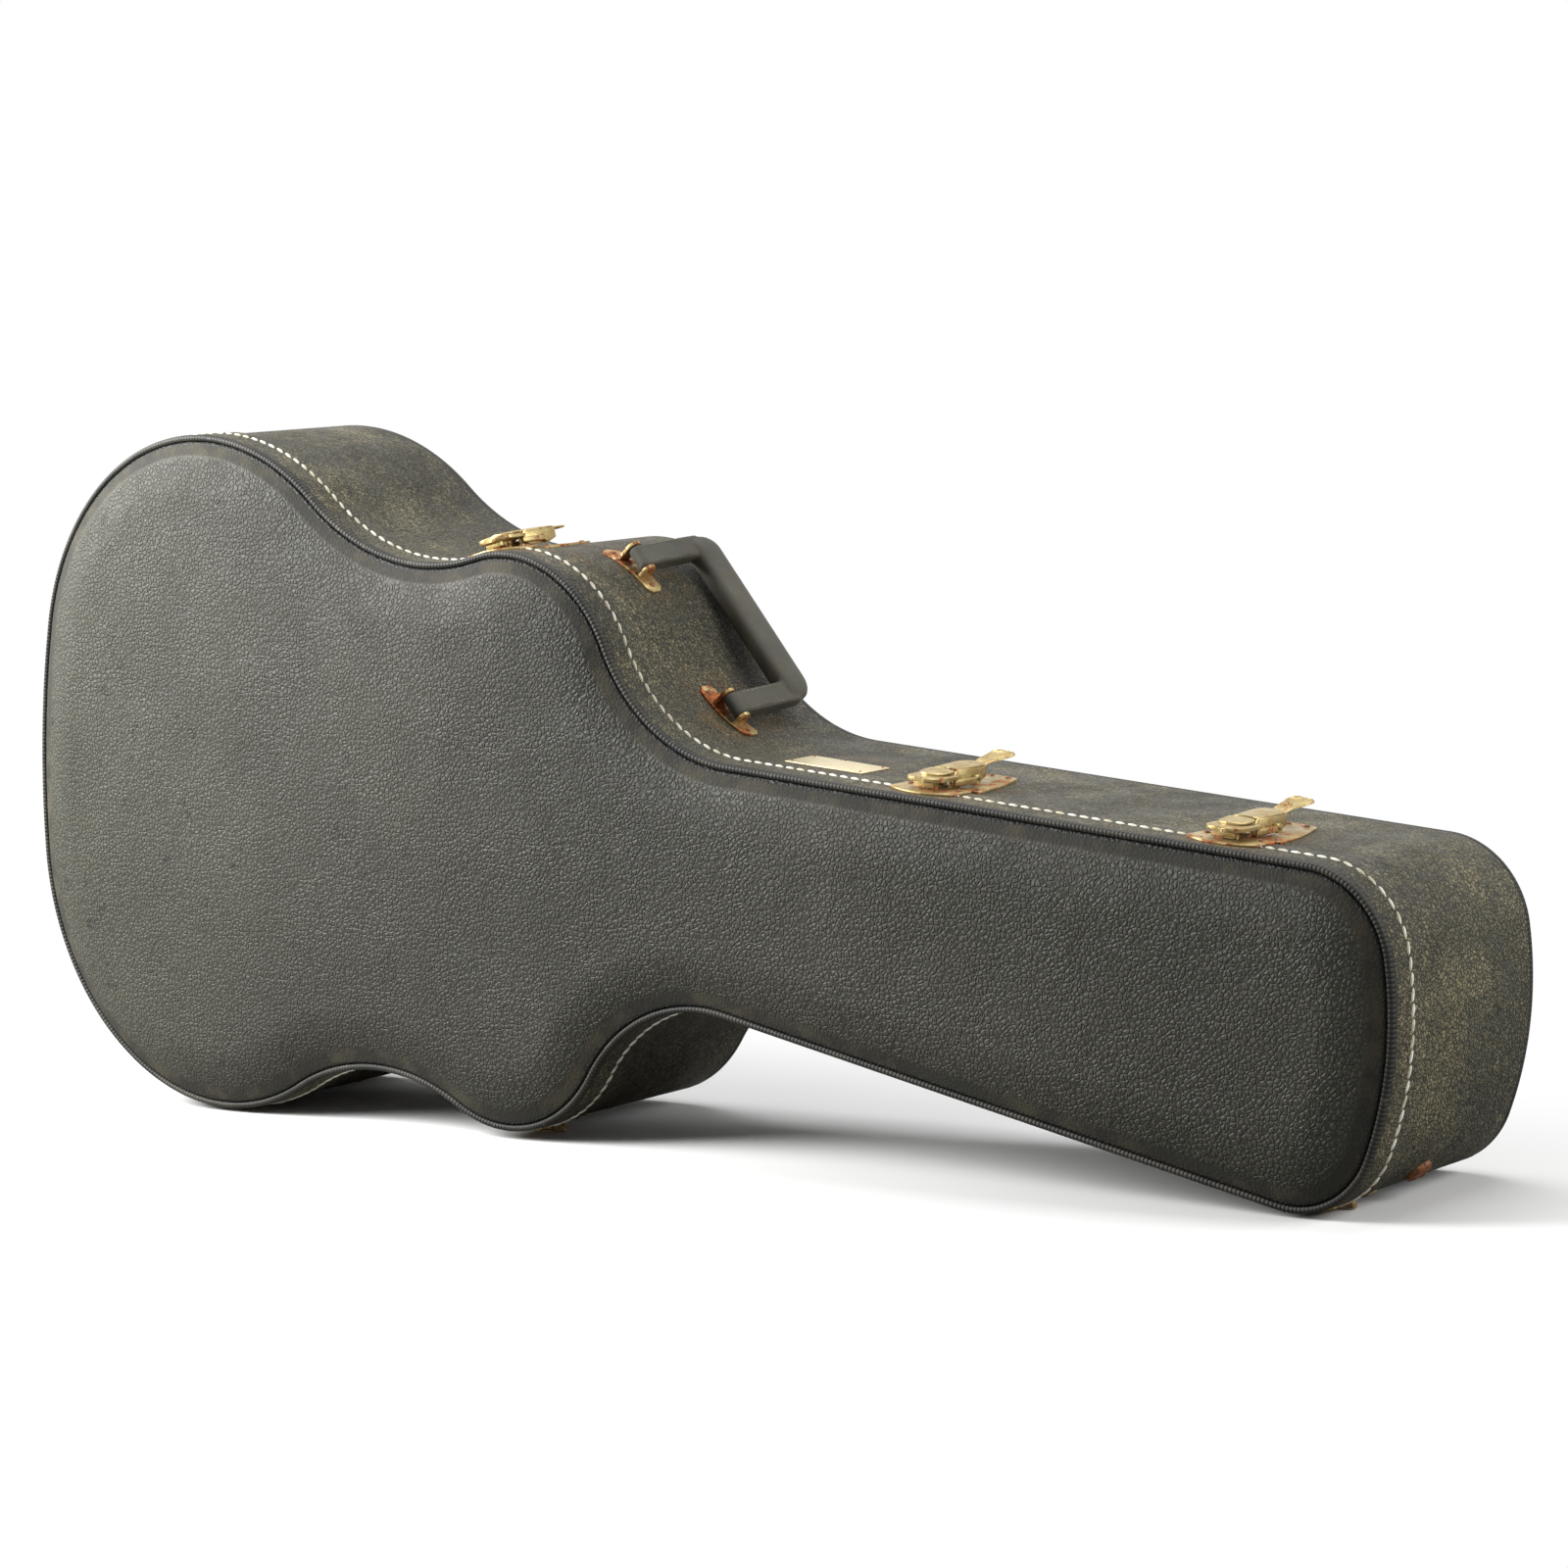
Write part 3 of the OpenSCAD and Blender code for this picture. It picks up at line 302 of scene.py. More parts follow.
@dataclass(frozen=True)
class Place:
    """A spot on the lid's outline and the turn that the rim faces there.

    Attributes:
        point: The spot in u and v.
        turn: Turn that the rim faces, in degrees.
    """

    point: Vector
    turn: float

    @staticmethod
    def on_arc(center: Vector, radius: float, turn: float) -> "Place":
        """The place of an arc that faces a turn."""
        return Place(center + radius * along(turn), turn)

    @staticmethod
    def on_neck(u: float) -> "Place":
        """The place on the neck's handle side at a distance from the tail."""
        facing = Vector((-OUTLINE.slope(NECK_TOP, HEAD_TOP), 1))
        return Place(Vector((u, OUTLINE.neck_top(u))), turn_of(facing))

    def matrix(self, w: float) -> Matrix:
        """Carries x along the rim, y to the back and z outwards to the finished part.

        Args:
            w: Depth of the place's origin from the lid's front edge.

        Returns:
            The matrix, from millimetres to metres.
        """
        move = Matrix.Translation((self.point.x, w - DEPTH / 2, self.point.y))
        return OUTLINE.stand @ move @ Matrix.Rotation(math.radians(90 - self.turn), 4, "Y")


PLACES = {
    "tail": Place.on_arc(OUTLINE.bout, BOUT_R, LATCH_TAIL_TURN),
    "bout": Place.on_arc(OUTLINE.shoulder, SHOULDER_R, LATCH_BOUT_TURN),
    "neck": Place.on_neck(LATCH_NECK_U),
    "head": Place.on_neck(LATCH_HEAD_U),
}


class Slot(Enum):
    """Material slots of the part's record."""

    PANEL = "panel_vinyl"
    RIM = "rim_vinyl"
    WELT = "welt"
    PLUSH = "plush"
    BRASS = "brass"
    RUSTY = "rusty_steel"
    LEATHER = "handle_leather"


class Across(Enum):
    """What the second UV coordinate of a band measures."""

    INSET = "inset"
    DEPTH = "depth"


# ---------------------------------------------------------------------------
# Materials
# ---------------------------------------------------------------------------


Color = tuple[float, float, float, float]
Socket = bpy.types.NodeSocket
Value = Socket | float


def srgb(red: int, green: int, blue: int) -> Color:
    """Linear colour of an sRGB one.

    Args:
        red: From 0 to 255, as green and blue are.
        green: See red.
        blue: See red.

    Returns:
        Linear red, green, blue and an alpha of 1.
    """

    def linear(value: float) -> float:
        """Linear value of one channel."""
        value /= 255
        return value / 12.92 if value <= 0.04045 else ((value + 0.055) / 1.055) ** 2.4

    return (linear(red), linear(green), linear(blue), 1.0)


class Nodes:
    """Helpers that add nodes to one tree, all of them working from one place vector."""

    tree: bpy.types.NodeTree
    place: Socket

    def add(self, kind: str, inputs: dict | None = None, **settings: object) -> bpy.types.Node:
        """Adds a node.

        Args:
            kind: Type name of the node.
            inputs: Values or sockets of the node's inputs, by name or number.
            **settings: Properties of the node.

        Returns:
            The node.
        """
        node = self.tree.nodes.new(kind)
        for key, value in settings.items():
            setattr(node, key, value)
        for key, value in (inputs or {}).items():
            self.feed(node.inputs[key], value)
        return node

    def feed(self, socket: Socket, value: object) -> None:
        """Links a socket to another, or sets its value.

        Args:
            socket: The input.
            value: Another node's output, or a plain value.
        """
        if isinstance(value, Socket):
            self.tree.links.new(value, socket)
        else:
            socket.default_value = value

    def math(self, operation: str, a: Value, b: Value = 0.0) -> Socket:
        """Result of one arithmetic step."""
        return self.add("ShaderNodeMath", {0: a, 1: b}, operation=operation).outputs[0]

    def noise(self, scale: Value, detail: Value = 3.0, roughness: Value = 0.5,
              distortion: Value = 0.0) -> Socket:
        """Soft noise from about 0.3 to 0.7.

        Args:
            scale: Waves in a metre.
            detail: Finer waves on top of them.
            roughness: Strength of the finer waves.
            distortion: How far the waves are bent.

        Returns:
            The noise.
        """
        inputs = {"Vector": self.place, "Scale": scale, "Detail": detail,
                  "Roughness": roughness, "Distortion": distortion}
        return self.add("ShaderNodeTexNoise", inputs).outputs["Fac"]

    def fade(self, value: Value, low: Value, high: Value,
             bottom: Value = 0.0, top: Value = 1.0) -> Socket:
        """Smooth step from one value to another.

        Args:
            value: What is stepped.
            low: Where the step starts.
            high: Where it ends.
            bottom: Result at its start.
            top: Result at its end.

        Returns:
            The result.
        """
        inputs = {"Value": value, "From Min": low, "From Max": high,
                  "To Min": bottom, "To Max": top}
        return self.add("ShaderNodeMapRange", inputs,
                        interpolation_type="SMOOTHSTEP").outputs["Result"]

    def blend(self, mask: Value, base: object, over: object) -> Socket:
        """Colour over another.

        Args:
            mask: Share of the upper colour.
            base: Lower colour.
            over: Upper colour.

        Returns:
            The mixed colour.
        """
        node = self.add("ShaderNodeMix", data_type="RGBA")
        self.feed(node.inputs["Factor"], mask)
        self.feed(node.inputs[6], base)
        self.feed(node.inputs[7], over)
        return node.outputs[2]

    def shade(self, amount: Value, color: object) -> Socket:
        """Colour made darker.

        Args:
            amount: What the colour is multiplied by.
            color: The colour.

        Returns:
            The darker colour.
        """
        node = self.add("ShaderNodeMix", data_type="RGBA", blend_type="MULTIPLY")
        node.inputs["Factor"].default_value = 1.0
        self.feed(node.inputs[6], color)
        self.feed(node.inputs[7], amount)
        return node.outputs[2]

    def bump(self, height: Socket, depth: float, under: Socket | None = None) -> Socket:
        """Normal of a height.

        Args:
            height: Height from 0 to 1.
            depth: What a height of 1 is in metres.
            under: Normal that it lies on.

        Returns:
            The normal.
        """
        inputs = {"Height": height, "Distance": depth, "Strength": 1.0}
        if under is not None:
            inputs["Normal"] = under
        return self.add("ShaderNodeBump", inputs).outputs["Normal"]


class Group(Nodes):
    """A node group that several finishes share, with a place and named values for inputs."""

    def __init__(self, name: str, inputs: Sequence[str], outputs: Sequence[str]) -> None:
        """Starts a group with its sockets.

        Args:
            name: The group's name.
            inputs: Names of its values.
            outputs: Names of its results.
        """
        self.tree = bpy.data.node_groups.new(name, "ShaderNodeTree")
        sockets = self.tree.interface
        sockets.new_socket("Place", in_out="INPUT", socket_type="NodeSocketVector")
        for label in inputs:
            sockets.new_socket(label, in_out="INPUT", socket_type="NodeSocketFloat")
        for label in outputs:
            sockets.new_socket(label, in_out="OUTPUT", socket_type="NodeSocketFloat")
        self.given = self.add("NodeGroupInput").outputs
        self.result = self.add("NodeGroupOutput").inputs
        self.place = self.given["Place"]


@cache
def patches_group() -> bpy.types.NodeTree:
    """Soft patches: noise faded to a mask.

    Returns:
        The group's tree.
    """
    wave = ("Scale", "Detail", "Roughness", "Distortion")
    span = ("Low", "High", "Bottom", "Top")
    g = Group("soft_patches", wave + span, ("Mask",))
    noise = g.noise(*(g.given[label] for label in wave))
    g.feed(g.result["Mask"], g.fade(noise, *(g.given[label] for label in span)))
    return g.tree


@cache
def grain_group() -> bpy.types.NodeTree:
    """Pressed grain: distance from the edges of random cells, shaken by noise so that they wander.

    Returns:
        The group's tree.
    """
    g = Group("pressed_grain", ("Scale", "Shake scale", "Shake reach"), ("Edge",))
    shake = g.add("ShaderNodeTexNoise", {"Vector": g.place, "Scale": g.given["Shake scale"]})
    scaled = g.add("ShaderNodeVectorMath",
                   {0: shake.outputs["Color"], "Scale": g.given["Shake reach"]}, operation="SCALE")
    shaken = g.add("ShaderNodeVectorMath", {0: g.place, 1: scaled.outputs[0]}, operation="ADD")
    inputs = {"Vector": shaken.outputs[0], "Scale": g.given["Scale"]}
    cells = g.add("ShaderNodeTexVoronoi", inputs, feature="DISTANCE_TO_EDGE")
    g.feed(g.result["Edge"], cells.outputs["Distance"])
    return g.tree


class Finish(Nodes):
    """One procedural material on a Principled shader."""

    def __init__(self, name: str) -> None:
        """Starts a material with its shader, output and coordinates.

        Args:
            name: The material's name.
        """
        self.material = bpy.data.materials.new(name)
        self.material.use_nodes = True
        self.tree = self.material.node_tree
        self.tree.nodes.clear()
        self.shader = self.add("ShaderNodeBsdfPrincipled")
        self.output = self.add("ShaderNodeOutputMaterial", {"Surface": self.shader.outputs[0]})
        coords = self.add("ShaderNodeTexCoord").outputs
        self.place = coords["Object"]
        split = self.add("ShaderNodeSeparateXYZ", {"Vector": coords["UV"]})
        self.run = split.outputs["X"]
        self.across = split.outputs["Y"]

    def set(self, **inputs: object) -> "Finish":
        """Sets inputs of the shader.

        Args:
            **inputs: Values or sockets, by the input's name with underscores for spaces.

        Returns:
            This finish.
        """
        for key, value in inputs.items():
            self.feed(self.shader.inputs[key.replace("_", " ")], value)
        return self

    def patches(self, wave: Sequence[float], low: float, high: float,
                bottom: float = 0.0, top: float = 1.0) -> Socket:
        """Soft patches that go from bottom to top.

        Args:
            wave: Scale, detail, roughness and distortion of the noise; the last ones may be
                left out.
            low: Noise at which the patches start.
            high: Noise at which they are full.
            bottom: Value outside the patches.
            top: Value inside them.

        Returns:
            The patches' value.
        """
        usual = (1.0, 3.0, 0.5, 0.0)
        scale, detail, roughness, distortion = (*wave, *usual[len(wave):])
        inputs = {"Place": self.place, "Scale": scale, "Detail": detail, "Roughness": roughness,
                  "Distortion": distortion, "Low": low, "High": high, "Bottom": bottom, "Top": top}
        return self.add("ShaderNodeGroup", inputs, node_tree=patches_group()).outputs["Mask"]

    def grain(self, scale: float, shake_scale: float, shake_reach: float) -> Socket:
        """Distance from the edges of a pressed grain's cells.

        Args:
            scale: Cells in a metre.
            shake_scale: Waves in a metre of the noise that shakes the cells.
            shake_reach: Reach of the shake, in metres.

        Returns:
            The distance.
        """
        inputs = {"Place": self.place, "Scale": scale, "Shake scale": shake_scale,
                  "Shake reach": shake_reach}
        return self.add("ShaderNodeGroup", inputs, node_tree=grain_group()).outputs["Edge"]

    def soiled(self) -> Socket:
        """Mask that is 1 at the tail end, where the case is most soiled, and low at the head."""
        split = self.add("ShaderNodeSeparateXYZ", {"Vector": self.place})
        return self.fade(split.outputs["X"], 0.25, -0.4, 0.15, 1.0)

    def near(self, spots: Iterable[Vector], reach: float) -> Socket:
        """Mask that fades from 1 at some spots to 0 away from them.

        Args:
            spots: The spots.
            reach: Distance in metres at which it is 0.

        Returns:
            The mask.
        """
        nearest: Value = 10.0
        for spot in spots:
            gap = self.add("ShaderNodeVectorMath", {0: self.place, 1: tuple(spot)},
                           operation="DISTANCE").outputs["Value"]
            nearest = self.math("MINIMUM", gap, nearest)
        return self.fade(nearest, reach, 0.0)


@dataclass(frozen=True)
class PanelVinyl:
    """Coarse pebbled vinyl of the lid and the back, smooth along its edge and darkened there by
    grime and painted shade.

    Attributes:
        cells: Pebbles in a metre.
        relief: Height of the pebbles in metres.
        band_start: Distances from the outline between which the smooth band begins, in metres.
        band_end: Distances between which it is gone again, the further one first.
        groove_end: Distances between which the painted shade at the welt is gone, the further one
            first.
        dark: Colour of the darker patches.
        light: Colour of the lighter patches.
        stained: Colour of the stains towards the tail end.
        scuffed: Colour of the scuffs.
        marked: Colour of the small dark marks.
        pit_shade: Painted shade between the pebbles.
        edge_dark: Darker colour of the smooth band, grime and painted shade of its slope.
        edge_light: Lighter colour of the band's grime and painted shade.
        groove_shade: Painted shade of the recess beside the welt.
    """

    cells: float = 340.0
    relief: float = 0.00042
    band_start: tuple[float, float] = (0.0050, 0.0062)
    band_end: tuple[float, float] = (0.0165, 0.0115)
    groove_end: tuple[float, float] = (0.0068, 0.0050)
    dark: Color = srgb(58, 57, 49)
    light: Color = srgb(69, 68, 58)
    stained: Color = srgb(54, 51, 42)
    scuffed: Color = srgb(112, 108, 94)
    marked: Color = srgb(40, 38, 33)
    pit_shade: Color = srgb(27, 27, 22)
    edge_dark: Color = srgb(42, 41, 36)
    edge_light: Color = srgb(66, 62, 50)
    groove_shade: Color = srgb(20, 20, 18)

    def made(self) -> Finish:
        """Builds the material.

        Returns:
            The finish, ready for pieces.
        """
        f = Finish("panel_vinyl")
        pebble = f.grain(self.cells, 300, 0.001)
        fine = f.noise(1500, 3)
        pits = f.fade(pebble, 0.26, 0.0)
        wide = f.noise(5, 3)
        color = f.blend(f.fade(wide, 0.35, 0.65), self.dark, self.light)
        stain = f.math("MULTIPLY", f.patches((15, 6, 0.65), 0.5, 0.7), f.soiled())
        color = f.blend(f.math("MULTIPLY", stain, 0.6), color, self.stained)
        scuff = f.patches((60, 6, 0.7), 0.6, 0.72)
        color = f.blend(f.math("MULTIPLY", scuff, 0.25), color, self.scuffed)
        marks = f.math("MULTIPLY", f.patches((85, 2, 0.4), 0.69, 0.73), f.soiled())
        color = f.blend(f.math("MULTIPLY", marks, 0.7), color, self.marked)
        # Painted shade: the pits between the pebbles are darkened.
        color = f.blend(f.math("MULTIPLY", pits, 0.6), color, self.pit_shade)
        # Painted shade and grime: the smooth band along the edge is darkened, standing in for the
        # shade on its slope.
        band = f.math("MULTIPLY", f.fade(f.across, *self.band_start),
                      f.fade(f.across, *self.band_end))
        band_grime_and_shade = f.blend(f.patches((48, 5, 0.6), 0.44, 0.66), self.edge_dark, self.edge_light)
        color = f.blend(f.math("MULTIPLY", band, 0.8), color, band_grime_and_shade)
        # Painted shade: the panel's rolled edge beside the welt is painted near black.
        color = f.blend(f.fade(f.across, *self.groove_end), color, self.groove_shade)
        rough = f.math("MAXIMUM", f.patches((26, 4), 0.3, 0.7, 0.48, 0.6),
                       f.math("MULTIPLY", band, 0.75))
        grain = f.math("SUBTRACT", 1.0, pits)
        flat = f.math("SUBTRACT", 1.0, f.math("MULTIPLY", band, 0.75))
        height = f.math("MULTIPLY", f.math("ADD", grain, f.math("MULTIPLY", fine, 0.35)), flat)
        normal = f.bump(wide, 0.008)
        return f.set(Base_Color=color, Roughness=rough, Specular_IOR_Level=0.2,
                     Normal=f.bump(height, self.relief, normal))


@dataclass(frozen=True)
class RimVinyl:
    """Finer grained vinyl of the rims, cracked, scuffed to tan and stained round the hardware.

    Attributes:
        hardware: Spots of the plates that rust, in metres.
        stain_reach: How far from a spot the stain goes, in metres.
        cells: Cells of the grain in a metre.
        relief: Height of the grain in metres.
        dark: Colour of the darker patches.
        light: Colour of the lighter patches.
        hazy: Colour of the dusty patches.
        worn: Colour where the grain is rubbed to tan.
        cracked: Colour of the cracks.
        stained: Colour of the rust stain.
    """

    hardware: Sequence[Vector]
    stain_reach: float = 0.05
    cells: float = 430.0
    relief: float = 0.00045
    dark: Color = srgb(68, 67, 57)
    light: Color = srgb(90, 88, 74)
    hazy: Color = srgb(122, 115, 90)
    worn: Color = srgb(158, 148, 114)
    cracked: Color = srgb(28, 27, 23)
    stained: Color = srgb(112, 84, 46)

    def made(self) -> Finish:
        """Builds the material.

        Returns:
            The finish, ready for pieces.
        """
        f = Finish("rim_vinyl")
        leaf = f.grain(self.cells, 180, 0.0034)
        cracks = f.fade(leaf, 0.2, 0.03)
        wide = f.noise(8, 4)
        color = f.blend(f.fade(wide, 0.36, 0.64), self.dark, self.light)
        haze = f.patches((16, 7, 0.7, 0.4), 0.48, 0.68)
        color = f.blend(f.math("MULTIPLY", haze, 0.62), color, self.hazy)
        rub = f.patches((300, 4, 0.75), 0.46, 0.6)
        rubbed = f.math("MULTIPLY", rub, f.math("ADD", 0.3, f.math("MULTIPLY", haze, 0.6)))
        color = f.blend(rubbed, color, self.worn)
        color = f.blend(f.math("MULTIPLY", cracks, 0.85), color, self.cracked)
        stain = f.math("MULTIPLY", f.near(self.hardware, self.stain_reach),
                       f.patches((55, 5, 0.6), 0.4, 0.62))
        color = f.blend(f.math("MULTIPLY", stain, 0.55), color, self.stained)
        rough = f.patches((40, 4), 0.3, 0.7, 0.44, 0.62)
        normal = f.bump(wide, 0.004)
        height = f.math("SUBTRACT", f.fade(leaf, 0.0, 0.22), f.math("MULTIPLY", rub, 0.25))
        return f.set(Base_Color=color, Roughness=rough, Specular_IOR_Level=0.2,
                     Normal=f.bump(height, self.relief, normal))


@dataclass(frozen=True)
class WeltVinyl:
    """Dark roll with fine ribs across its run.

    Attributes:
        rib_pitch: Distance between two ribs in metres.
        dark: Colour of the darker patches.
        light: Colour of the lighter patches.
        between: Colour between the ribs.
        chipped: Colour of the chips.
    """

    rib_pitch: float = 0.0026
    dark: Color = srgb(34, 34, 30)
    light: Color = srgb(60, 57, 49)
    between: Color = srgb(18, 18, 16)
    chipped: Color = srgb(104, 95, 78)

    def made(self) -> Finish:
        """Builds the material.

        Returns:
            The finish, ready for pieces.
        """
        f = Finish("welt_vinyl")
        wave = f.math("SINE", f.math("MULTIPLY", f.run, 2 * math.pi / self.rib_pitch))
        ribs = f.fade(wave, -1.0, 0.6)
        color = f.blend(f.patches((24, 5), 0.4, 0.66), self.dark, self.light)
        color = f.blend(f.math("MULTIPLY", f.math("SUBTRACT", 1.0, ribs), 0.6), color, self.between)
        chips = f.patches((120, 3), 0.66, 0.72)
        color = f.blend(f.math("MULTIPLY", chips, 0.5), color, self.chipped)
        return f.set(Base_Color=color, Roughness=0.55, Specular_IOR_Level=0.25,
                     Normal=f.bump(ribs, 0.0003))


@dataclass(frozen=True)
class Brass:
    """Dull yellow brass with green-brown tarnish and orange rust breaking through.

    Attributes:
        name: The material's name.
        age: Share of the plate that has turned, from 0 to 1.
        pale: Share of the brass that is worn to pale metal.
        bright: Colour of the cleaner brass.
        dull: Colour of the duller brass.
        bare: Colour of the pale metal.
        tarnished: Colour of the green-brown tarnish.
        rust_dark: Darker colour of the rust.
        rust_light: Lighter colour of the rust.
    """

    name: str
    age: float
    pale: float = 0.0
    bright: Color = srgb(180, 162, 112)
    dull: Color = srgb(152, 128, 80)
    bare: Color = srgb(226, 214, 180)
    tarnished: Color = srgb(126, 108, 66)
    rust_dark: Color = srgb(112, 60, 28)
    rust_light: Color = srgb(196, 108, 44)

    def made(self) -> Finish:
        """Builds the material.

        Returns:
            The finish, ready for pieces.
        """
        f = Finish(self.name)
        cloud = f.noise(110, 6, 0.65, 0.3)
        fine = f.noise(420, 4, 0.65)
        color = f.blend(f.fade(cloud, 0.38, 0.62), self.bright, self.dull)
        color = f.blend(self.pale, color, self.bare)
        green = f.patches((150, 5, 0.6), 0.5, 0.66)
        color = f.blend(f.math("MULTIPLY", green, 0.15 + 0.4 * self.age), color, self.tarnished)
        rust = f.patches((70, 7, 0.72, 0.5), 0.6 - 0.2 * self.age, 0.68 - 0.18 * self.age)
        speck = f.fade(fine, 0.58, 0.66)
        rust = f.math("MAXIMUM", rust, f.math("MULTIPLY", speck, 0.5 * self.age))
        rust_color = f.blend(f.fade(fine, 0.42, 0.62), self.rust_dark, self.rust_light)
        color = f.blend(rust, color, rust_color)
        metal = f.fade(rust, 0.0, 0.8, 0.72, 0.05)
        rough = f.fade(f.math("ADD", rust, cloud), 0.35, 1.2, 0.34, 0.8)
        normal = f.bump(f.math("ADD", fine, rust), 0.00016)
        return f.set(Base_Color=color, Metallic=metal, Roughness=rough, Normal=normal)


@dataclass(frozen=True)
class RustySteel:
    """Brown rust over plated steel, on rivets, nails, pins and feet.

    Attributes:
        rust_light: Lighter colour of the rust.
        rust_dark: Darker colour of the rust.
        plating: Colour of the plating that is left.
    """

    rust_light: Color = srgb(150, 90, 46)
    rust_dark: Color = srgb(78, 48, 30)
    plating: Color = srgb(142, 128, 98)

    def made(self) -> Finish:
        """Builds the material.

        Returns:
            The finish, ready for pieces.
        """
        f = Finish("rusty_steel")
        cloud = f.noise(260, 5, 0.65)
        color = f.blend(f.fade(cloud, 0.38, 0.64), self.rust_light, self.rust_dark)
        plated = f.patches((180, 3), 0.6, 0.68)
        color = f.blend(plated, color, self.plating)
        metal = f.math("MULTIPLY", plated, 0.8)
        return f.set(Base_Color=color, Metallic=metal, Roughness=f.fade(cloud, 0.3, 0.7, 0.5, 0.85),
                     Normal=f.bump(cloud, 0.0003))


@dataclass(frozen=True)
class PinSteel:
    """Dull steel of the pins, with brown specks.

    Attributes:
        steel: Colour of the steel.
        specks: Colour of the specks.
    """

    steel: Color = srgb(138, 134, 124)
    specks: Color = srgb(84, 68, 52)

    def made(self) -> Finish:
        """Builds the material.

        Returns:
            The finish, ready for pieces.
        """
        f = Finish("pin_steel")
        cloud = f.noise(300, 4)
        color = f.blend(f.fade(cloud, 0.45, 0.65), self.steel, self.specks)
        return f.set(Base_Color=color, Metallic=0.8, Roughness=f.fade(cloud, 0.3, 0.7, 0.35, 0.65))


@dataclass(frozen=True)
class Plush:
    """Short pile that is brushed lighter and darker in patches.

    Attributes:
        name: The material's name.
        deep: Colour where the pile is brushed one way.
        light: Colour where it is brushed the other way.
    """

    name: str
    deep: Color
    light: Color

    def made(self) -> Finish:
        """Builds the material.

        Returns:
            The finish, ready for pieces.
        """
        f = Finish(self.name)
        brushed = f.patches((14, 4, 0.6, 0.6), 0.4, 0.6)
        pile = f.noise(1500, 3, 0.7)
        color = f.blend(brushed, self.deep, self.light)
        color = f.shade(f.fade(pile, 0.3, 0.6, 0.55, 1.0), color)
        normal = f.bump(pile, 0.0009, f.bump(f.noise(22, 3), 0.002))
        return f.set(Base_Color=color, Roughness=0.95, Normal=normal, Sheen_Weight=0.55,
                     Sheen_Roughness=0.4, Sheen_Tint=(0.85, 0.35, 0.38, 1.0))


@dataclass(frozen=True)
class HandleLeather:
    """Dark handle leather, rubbed to brown.

    Attributes:
        cells: Cells of the grain in a metre.
        dark: Colour of the darker patches.
        light: Colour of the lighter patches.
        brown: Colour of the rubbed patches.
        crease: Colour of the creases.
    """

    cells: float = 1500.0
    dark: Color = srgb(78, 77, 68)
    light: Color = srgb(98, 96, 84)
    brown: Color = srgb(96, 84, 66)
    crease: Color = srgb(24, 23, 21)

    def made(self) -> Finish:
        """Builds the material.

        Returns:
            The finish, ready for pieces.
        """
        f = Finish("handle_leather")
        grain = f.grain(self.cells, 500, 0.0008)
        worn = f.patches((48, 6, 0.65, 0.5), 0.5, 0.68)
        color = f.blend(f.patches((30, 3), 0.35, 0.65), self.dark, self.light)
        color = f.blend(f.math("MULTIPLY", worn, 0.5), color, self.brown)
        color = f.blend(f.fade(grain, 0.1, 0.0, 0, 0.5), color, self.crease)
        rough = f.patches((60, 4), 0.3, 0.7, 0.38, 0.6)
        normal = f.bump(f.fade(grain, 0.0, 0.25), 0.00016, f.bump(f.noise(70, 4), 0.0012))
        return f.set(Base_Color=color, Roughness=rough, Specular_IOR_Level=0.3, Normal=normal)


@dataclass(frozen=True)
class Thread:
    """Waxed sewing thread with its twist.

    Attributes:
        name: The material's name.
        clean: Colour of the clean thread.
        soiled: Colour of the soiled thread.
    """

    name: str
    clean: Color
    soiled: Color

    def made(self) -> Finish:
        """Builds the material.

        Returns:
            The finish, ready for pieces.
        """
        f = Finish(self.name)
        color = f.blend(f.patches((90, 4), 0.4, 0.62), self.clean, self.soiled)
        twist = f.noise(1400, 1, 0.5, 1.5)
        return f.set(Base_Color=color, Roughness=0.75, Normal=f.bump(twist, 0.0003))


@dataclass(frozen=True)
class FloorPaint:
    """Pale floor that keeps the shadow near the object and is white further out.

    Attributes:
        half: Half length of the strip along x that the object stands on, in metres.
        clear: Distance from that strip at which the floor has turned white for the camera.
        bounced: Colour that lights the object from below, greyer than the one that is seen.
        pale: Colour of one half of its soft patches.
        paler: Colour of the other half.
    """

    half: float
    clear: float
    pale: Color = srgb(238, 238, 238)
    paler: Color = srgb(242, 242, 241)
    bounced: Color = srgb(150, 150, 148)

    def made(self) -> Finish:
        """Builds the material.

        Returns:
            The finish, ready for pieces.
        """
        f = Finish("floor")
        color = f.blend(f.patches((3, 2), 0.3, 0.7), self.pale, self.paler)
        ray = f.add("ShaderNodeLightPath").outputs["Is Camera Ray"]
        color = f.blend(ray, self.bounced, color)
        f.set(Base_Color=color, Roughness=0.8, Specular_IOR_Level=0.1)
        white = f.add("ShaderNodeEmission", {"Color": (1, 1, 1, 1), "Strength": 1.0})
        split = f.add("ShaderNodeSeparateXYZ", {"Vector": f.place})
        past = f.math("SUBTRACT", f.math("ABSOLUTE", split.outputs["X"]), self.half)
        gap = f.add("ShaderNodeCombineXYZ", {"X": f.math("MAXIMUM", past, 0.0),
                                             "Y": split.outputs["Y"]})
        length = f.add("ShaderNodeVectorMath", {0: gap.outputs[0]}, operation="LENGTH")
        far = f.fade(length.outputs["Value"], 0.06, self.clear)
        mask = f.math("MULTIPLY", far, ray)
        mixed = f.add("ShaderNodeMixShader", {0: mask, 1: f.shader.outputs[0], 2: white.outputs[0]})
        f.feed(f.output.inputs["Surface"], mixed.outputs[0])
        return f


# ---------------------------------------------------------------------------
# Forms
# ---------------------------------------------------------------------------


